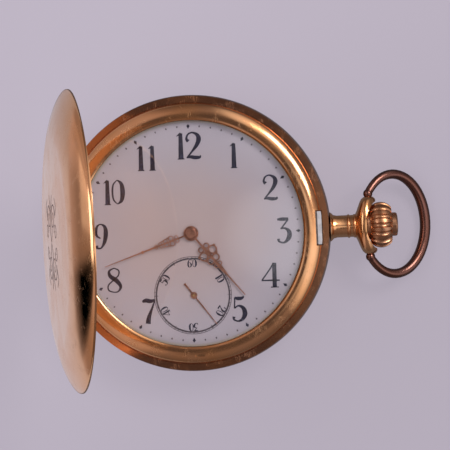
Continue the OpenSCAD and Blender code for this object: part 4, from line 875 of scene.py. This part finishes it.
class WATCH_OT_engraving(bpy.types.Operator):
    """Scrollwork cut into the middle of the front cover"""
    bl_idname = "watch.engraving"
    bl_label = "Engraving"

    def execute(self, context):
        wide = settings("case").cut_width

        def scroll(cx, cy, r, start, turns, grow, side, w):
            samples = 35
            line = []
            for i in range(samples + 1):
                t = i / samples
                a = start + side * turns * 2 * math.pi * t
                rr = r * (1 - grow * t)
                line.append((cx + rr * math.cos(a), cy + rr * math.sin(a), w * (1.0 - 0.75 * t)))
            return line

        def sprig(points, mirror, flip, steps):
            return spline([(mirror * x * MM, flip * y * MM, w * wide) for x, y, w in points], steps)

        strokes = []
        for mirror in (-1, 1):
            for flip in (-1, 1):
                for side, lead, (x, y, r, turns, grow, w) in zip((-1, 1), (0.2, 0.0), SCROLLS):
                    start = math.pi / 2 + side * mirror * math.pi / 2 + lead
                    strokes.append(scroll(mirror * x * MM, flip * y * MM, r * MM, start, turns, grow,
                                          -side * mirror * flip, w * wide))
                strokes.append(sprig(STEM, mirror, flip, 10))
                strokes.append(sprig(LEAF, mirror, flip, 8))
        points, faces = [], []
        for line in strokes:
            ribbon(points, faces, line, CUT_T, lambda x, y, z: lid_face(x, y, z + CUT_LIFT))
        # The cuts are dark lines drawn on the cover's face: painted shade of grooves that are not cut
        piece = link("cover_engraving", outward(make_mesh("cover_engraving", points, faces)))
        dress(piece, engraving_finish(), "front_cover", "case_gold")
        return {"FINISHED"}


class WATCH_OT_movement(bpy.types.Operator):
    """Gilt, steel, blued steel and ruby for the movement, the springs and the pins"""
    bl_idname = "watch.movement"
    bl_label = "Movement"

    def execute(self, context):
        chosen = settings("movement")
        striped = gilt_finish("gilt_striped", stripes=True)
        frosted = gilt_finish("gilt_frosted")
        turned = gilt_finish("gilt_turned", circles=True)
        steel = steel_finish("polished_steel", tuple(chosen.steel))
        blue = steel_finish("blued_steel", tuple(chosen.blue), 0.22, grain=False)
        ruby = ruby_finish()
        bridges = ("barrel_bridge", "train_bridge", "balance_cock", "pallet_cock", "crown_wheel_cap")
        by_slot = {"polished_steel": steel, "blued_steel": blue, "ruby": ruby}
        for name, piece in FRAME["nodes"].items():
            slot = SLOT_OF[name]
            if slot == "gilt_brass":
                made = striped if name in bridges else frosted if name == "mainplate" else turned
            else:
                made = by_slot.get(slot)
            if made:
                piece.data.materials[0] = made
        return {"FINISHED"}


# Stage

def area(name, place, size, power, aim=(0, 0, 0), colour=(1, 1, 1)):
    """A rectangular lamp at place that shines at aim."""
    lamp = bpy.data.lights.new(name, "AREA")
    lamp.shape = "RECTANGLE"
    lamp.size, lamp.size_y = size
    lamp.energy = power
    lamp.color = colour
    holder = bpy.data.objects.new(name, lamp)
    bpy.context.scene.collection.objects.link(holder)
    holder.location = place
    holder.rotation_euler = (Vector(aim) - Vector(place)).to_track_quat("-Z", "Y").to_euler()
    return holder


# What polished metal mirrors, each patch with its kind, azimuth, inner and outer half width, the elevations
# between which it grows, and its strength below and above them; angles in degrees
REFLECTED = (
    ("day", 340, 13, 28, -10, 65, 0.16, 0.88),
    ("day", 64, 8, 22, -10, 50, 0.05, 0.66),
    ("room", 22, 34, 56, 0, 45, 0.10, 0.18),
    ("room", 222, 12, 23, -15, 45, 0.22, 0.34),
    ("room", 135, 16, 30, -40, 30, 0.20, 0.26),
    ("day", 168, 8, 11, -18, -12, 0.0, 0.34),
    ("room", 172, 11.5, 14, -45, -20, 0.13, 0.18),
    ("room", 158, 6, 12, -45, -15, 0.10, 0.15),
    ("room", 196, 9.5, 10.5, -40, -34, 0.0, -0.12),
)

# The glint near the zenith: azimuth, elevation, inner and outer half width in degrees, and strength
GLINT = (350, 80, 4, 11, 0.8)

# The even base of what is mirrored: height as a share from straight down to straight up, and its grey
MIRRORED_SKY = ((0.0, 0.45), (0.15, 0.40), (0.30, 0.10), (0.50, 0.12), (0.75, 0.17), (0.93, 0.22),
                (0.985, 0.10), (1.0, 0.08))

# Heights between which all but the glint fades from what is mirrored towards the zenith
NEAR_ZENITH = (0.985, 0.93)

# The two softboxes: place, width and height in metres, share of the set power, and colour
SOFTBOXES = {
    "key": ((0.26, 0.20, 0.34), (0.22, 0.16), 1.0, (1.0, 0.96, 0.92)),
    "fill": ((-0.30, 0.05, 0.30), (0.24, 0.24), 0.5, (0.92, 0.94, 1.0)),
}

# The camera's aim in metres and its turns about Z, X and Y in degrees
CAMERA_AIM = (0.00626, 0.00126, 0.0096)
CAMERA_TURNS = (("Z", -2.585), ("X", -0.95), ("Y", 4.5))


def toward(azimuth, elevation):
    """The unit vector towards a point of the sky, from angles in degrees."""
    a, e = math.radians(azimuth), math.radians(elevation)
    return Vector((math.cos(e) * math.cos(a), math.cos(e) * math.sin(a), math.sin(e)))


# The mirrored sheet in metres: where it comes out of its painted shadow along -X, where it ends, and where it dims
# along Y
SHEET_SHADOW_EDGE = (-0.027, -0.031)
SHEET_ENDS = (-0.074, -0.084)
SHEET_DIMS = (0.010, 0.035)


def floor_finish(colour):
    """Pale paper. It looks evenly lit but for painted light that makes it lighter towards -X and +Y, and metal
    mirrors it as a sheet that ends some way past the watch and is dimmed round the watch by a painted shadow.
    """
    f = Finish("floor")
    x, y, _ = f.parts()
    # Painted light: the backdrop is lighter towards -X and +Y and darker towards +X and -Y
    painted_light_slope = (y - x).between(-0.05, 0.05, smooth=False)
    shade = f.blend(painted_light_slope, tuple(c * 0.95 for c in colour), tuple(c * 1.07 for c in colour))
    lit = node(f.tree, "ShaderNodeBsdfDiffuse", None, {0: (*colour, 1)})
    plain = node(f.tree, "ShaderNodeEmission", None, {0: shade, 1: 1.0})
    # Painted shadow: what metal mirrors of the sheet is dimmed to a quarter round the watch
    paper = x.between(*SHEET_SHADOW_EDGE, 0.25, 1.0) * y.between(*SHEET_DIMS, 1.0, 0.74)
    mirrored = node(f.tree, "ShaderNodeEmission", None, {0: (0.60, 0.58, 0.66, 1), 1: paper})
    beyond = node(f.tree, "ShaderNodeBsdfTransparent")
    sheet = node(f.tree, "ShaderNodeMixShader", None,
                 {0: x.between(*SHEET_ENDS), 1: mirrored.outputs[0], 2: beyond.outputs[0]})
    path = node(f.tree, "ShaderNodeLightPath")
    through = Wire(f.tree, path.outputs["Is Transmission Ray"])
    seen = Wire(f.tree, path.outputs["Is Camera Ray"]).math("MAXIMUM", through)
    mixed = node(f.tree, "ShaderNodeMixShader", None,
                 {0: seen * 0.72, 1: lit.outputs[0], 2: plain.outputs[0]})
    whole = node(f.tree, "ShaderNodeMixShader", None,
                 {0: path.outputs["Is Glossy Ray"], 1: mixed.outputs[0], 2: sheet.outputs[0]})
    f.tree.links.new(whole.outputs[0], f.output.inputs[0])
    return f.material


def studio_world(colour):
    """The room: a plain backdrop for the camera, even soft light, and what polished metal mirrors."""
    world = bpy.data.worlds.new("studio")
    world.use_nodes = True
    tree = world.node_tree
    tree.nodes.clear()
    place = node(tree, "ShaderNodeTexCoord")
    parts = node(tree, "ShaderNodeSeparateXYZ", None, {0: place.outputs["Generated"]})
    x, y, z = (Wire(tree, socket) for socket in parts.outputs)
    level = (x * x + y * y + 1e-6).math("SQRT")
    base = node(tree, "ShaderNodeValToRGB", {"stops": [(at, (grey,) * 3) for at, grey in MIRRORED_SKY]},
                {0: z * 0.5 + 0.5})
    sums = {"day": 0.0, "room": Wire(tree, base.outputs[0])}
    for kind, azimuth, inner, outer, low, high, weak, strong in REFLECTED:
        side = toward(azimuth, 0)
        along = (x * side.x + y * side.y) / level
        across = along.between(math.cos(math.radians(outer)), math.cos(math.radians(inner)))
        light = z.between(math.sin(math.radians(low)), math.sin(math.radians(high)), weak, strong)
        sums[kind] = across * light * z.between(*NEAR_ZENITH) + sums[kind]
    azimuth, elevation, inner, outer, strong = GLINT
    side = toward(azimuth, elevation)
    near = x * side.x + y * side.y + z * side.z
    glint = near.between(math.cos(math.radians(outer)), math.cos(math.radians(inner)), 0.0, strong)
    sums["day"] = glint + sums["day"]
    day = node(tree, "ShaderNodeBackground", None, {0: (1.0, 0.98, 1.0, 1), 1: sums["day"]})
    room = node(tree, "ShaderNodeBackground", None, {0: (1.0, 0.80, 0.80, 1), 1: sums["room"]})
    shine = node(tree, "ShaderNodeAddShader", None, {0: day.outputs[0], 1: room.outputs[0]})
    even = node(tree, "ShaderNodeBackground", None, {0: (0.95, 0.93, 1.0, 1), 1: 0.55})
    backdrop = node(tree, "ShaderNodeBackground", None, {0: (*colour, 1), 1: 1.0})
    path = node(tree, "ShaderNodeLightPath")
    first = node(tree, "ShaderNodeMixShader", None,
                 {0: path.outputs["Is Glossy Ray"], 1: even.outputs[0], 2: shine.outputs[0]})
    last = node(tree, "ShaderNodeMixShader", None,
                {0: path.outputs["Is Camera Ray"], 1: first.outputs[0], 2: backdrop.outputs[0]})
    node(tree, "ShaderNodeOutputWorld", None, {0: last.outputs[0]})
    return world


class WATCH_OT_stage(bpy.types.Operator):
    """Pale floor, soft studio light and the camera above the dial"""
    bl_idname = "watch.stage"
    bl_label = "Stage"

    def execute(self, context):
        chosen = settings("stage")
        scene = context.scene
        scene.view_settings.view_transform = "Standard"
        colour = tuple(chosen.floor)

        half, under = 1.5, -0.00002
        corners = [(-half, -half, under), (half, -half, under), (half, half, under), (-half, half, under)]
        floor = link("floor", make_mesh("floor", corners, [(0, 1, 2, 3)]))
        floor.data.materials.append(floor_finish(colour))

        scene.world = studio_world(colour)
        for name, (place, size, share, tint) in SOFTBOXES.items():
            area(name, place, size, chosen.softbox * share, colour=tint)
        # A small lamp for the enamel alone, which nothing mirrors or shows
        near = area("dial_light", (-0.006, 0.0, 0.045), (0.012, 0.030), 0.0026, aim=(-0.006, 0.0, 0.0))
        near.visible_camera = near.visible_glossy = near.visible_transmission = False

        turn = Matrix.Identity(3)
        for axis, degrees in CAMERA_TURNS:
            turn = turn @ Matrix.Rotation(math.radians(degrees), 3, axis)
        camera = bpy.data.cameras.new("camera")
        camera.sensor_width = 36.0
        camera.lens = chosen.lens
        camera.clip_start = 0.01
        camera.clip_end = 10
        holder = bpy.data.objects.new("camera", camera)
        scene.collection.objects.link(holder)
        stand = Vector(CAMERA_AIM) + turn @ Vector((0, 0, chosen.distance))
        holder.matrix_world = Matrix.Translation(stand) @ turn.to_4x4()
        scene.camera = holder
        return {"FINISHED"}


class WATCH_PT_panel(bpy.types.Panel):
    """Lists the watch's operators and sizes"""
    bl_idname = "WATCH_PT_panel"
    bl_label = "Pocket watch"
    bl_space_type = "VIEW_3D"
    bl_region_type = "UI"
    bl_category = "Watch"

    def draw(self, context):
        for step in STEPS:
            self.layout.operator(step.bl_idname)
        for kind, group in GROUPS.items():
            box = self.layout.box()
            box.label(text=group.__doc__)
            for prop in group.__annotations__:
                box.prop(settings(kind), prop)


GROUPS = {"case": CaseSettings, "dial": DialSettings, "movement": MovementSettings, "stage": StageSettings}
STEPS = (WATCH_OT_stage, WATCH_OT_movement, WATCH_OT_case, WATCH_OT_bow, WATCH_OT_crown, WATCH_OT_crystal,
         WATCH_OT_dial, WATCH_OT_hands, WATCH_OT_engraving)


def register():
    for kind, group in GROUPS.items():
        bpy.utils.register_class(group)
        setattr(bpy.types.Scene, "watch_" + kind, PointerProperty(type=group))
    for cls in (*STEPS, WATCH_PT_panel):
        bpy.utils.register_class(cls)


def unregister():
    for cls in (WATCH_PT_panel, *reversed(STEPS)):
        bpy.utils.unregister_class(cls)
    for kind, group in GROUPS.items():
        delattr(bpy.types.Scene, "watch_" + kind)
        bpy.utils.unregister_class(group)


def main():
    register()
    for step in STEPS:
        getattr(bpy.ops.watch, step.bl_idname.split(".")[1])()


if __name__ == "__main__":
    main()
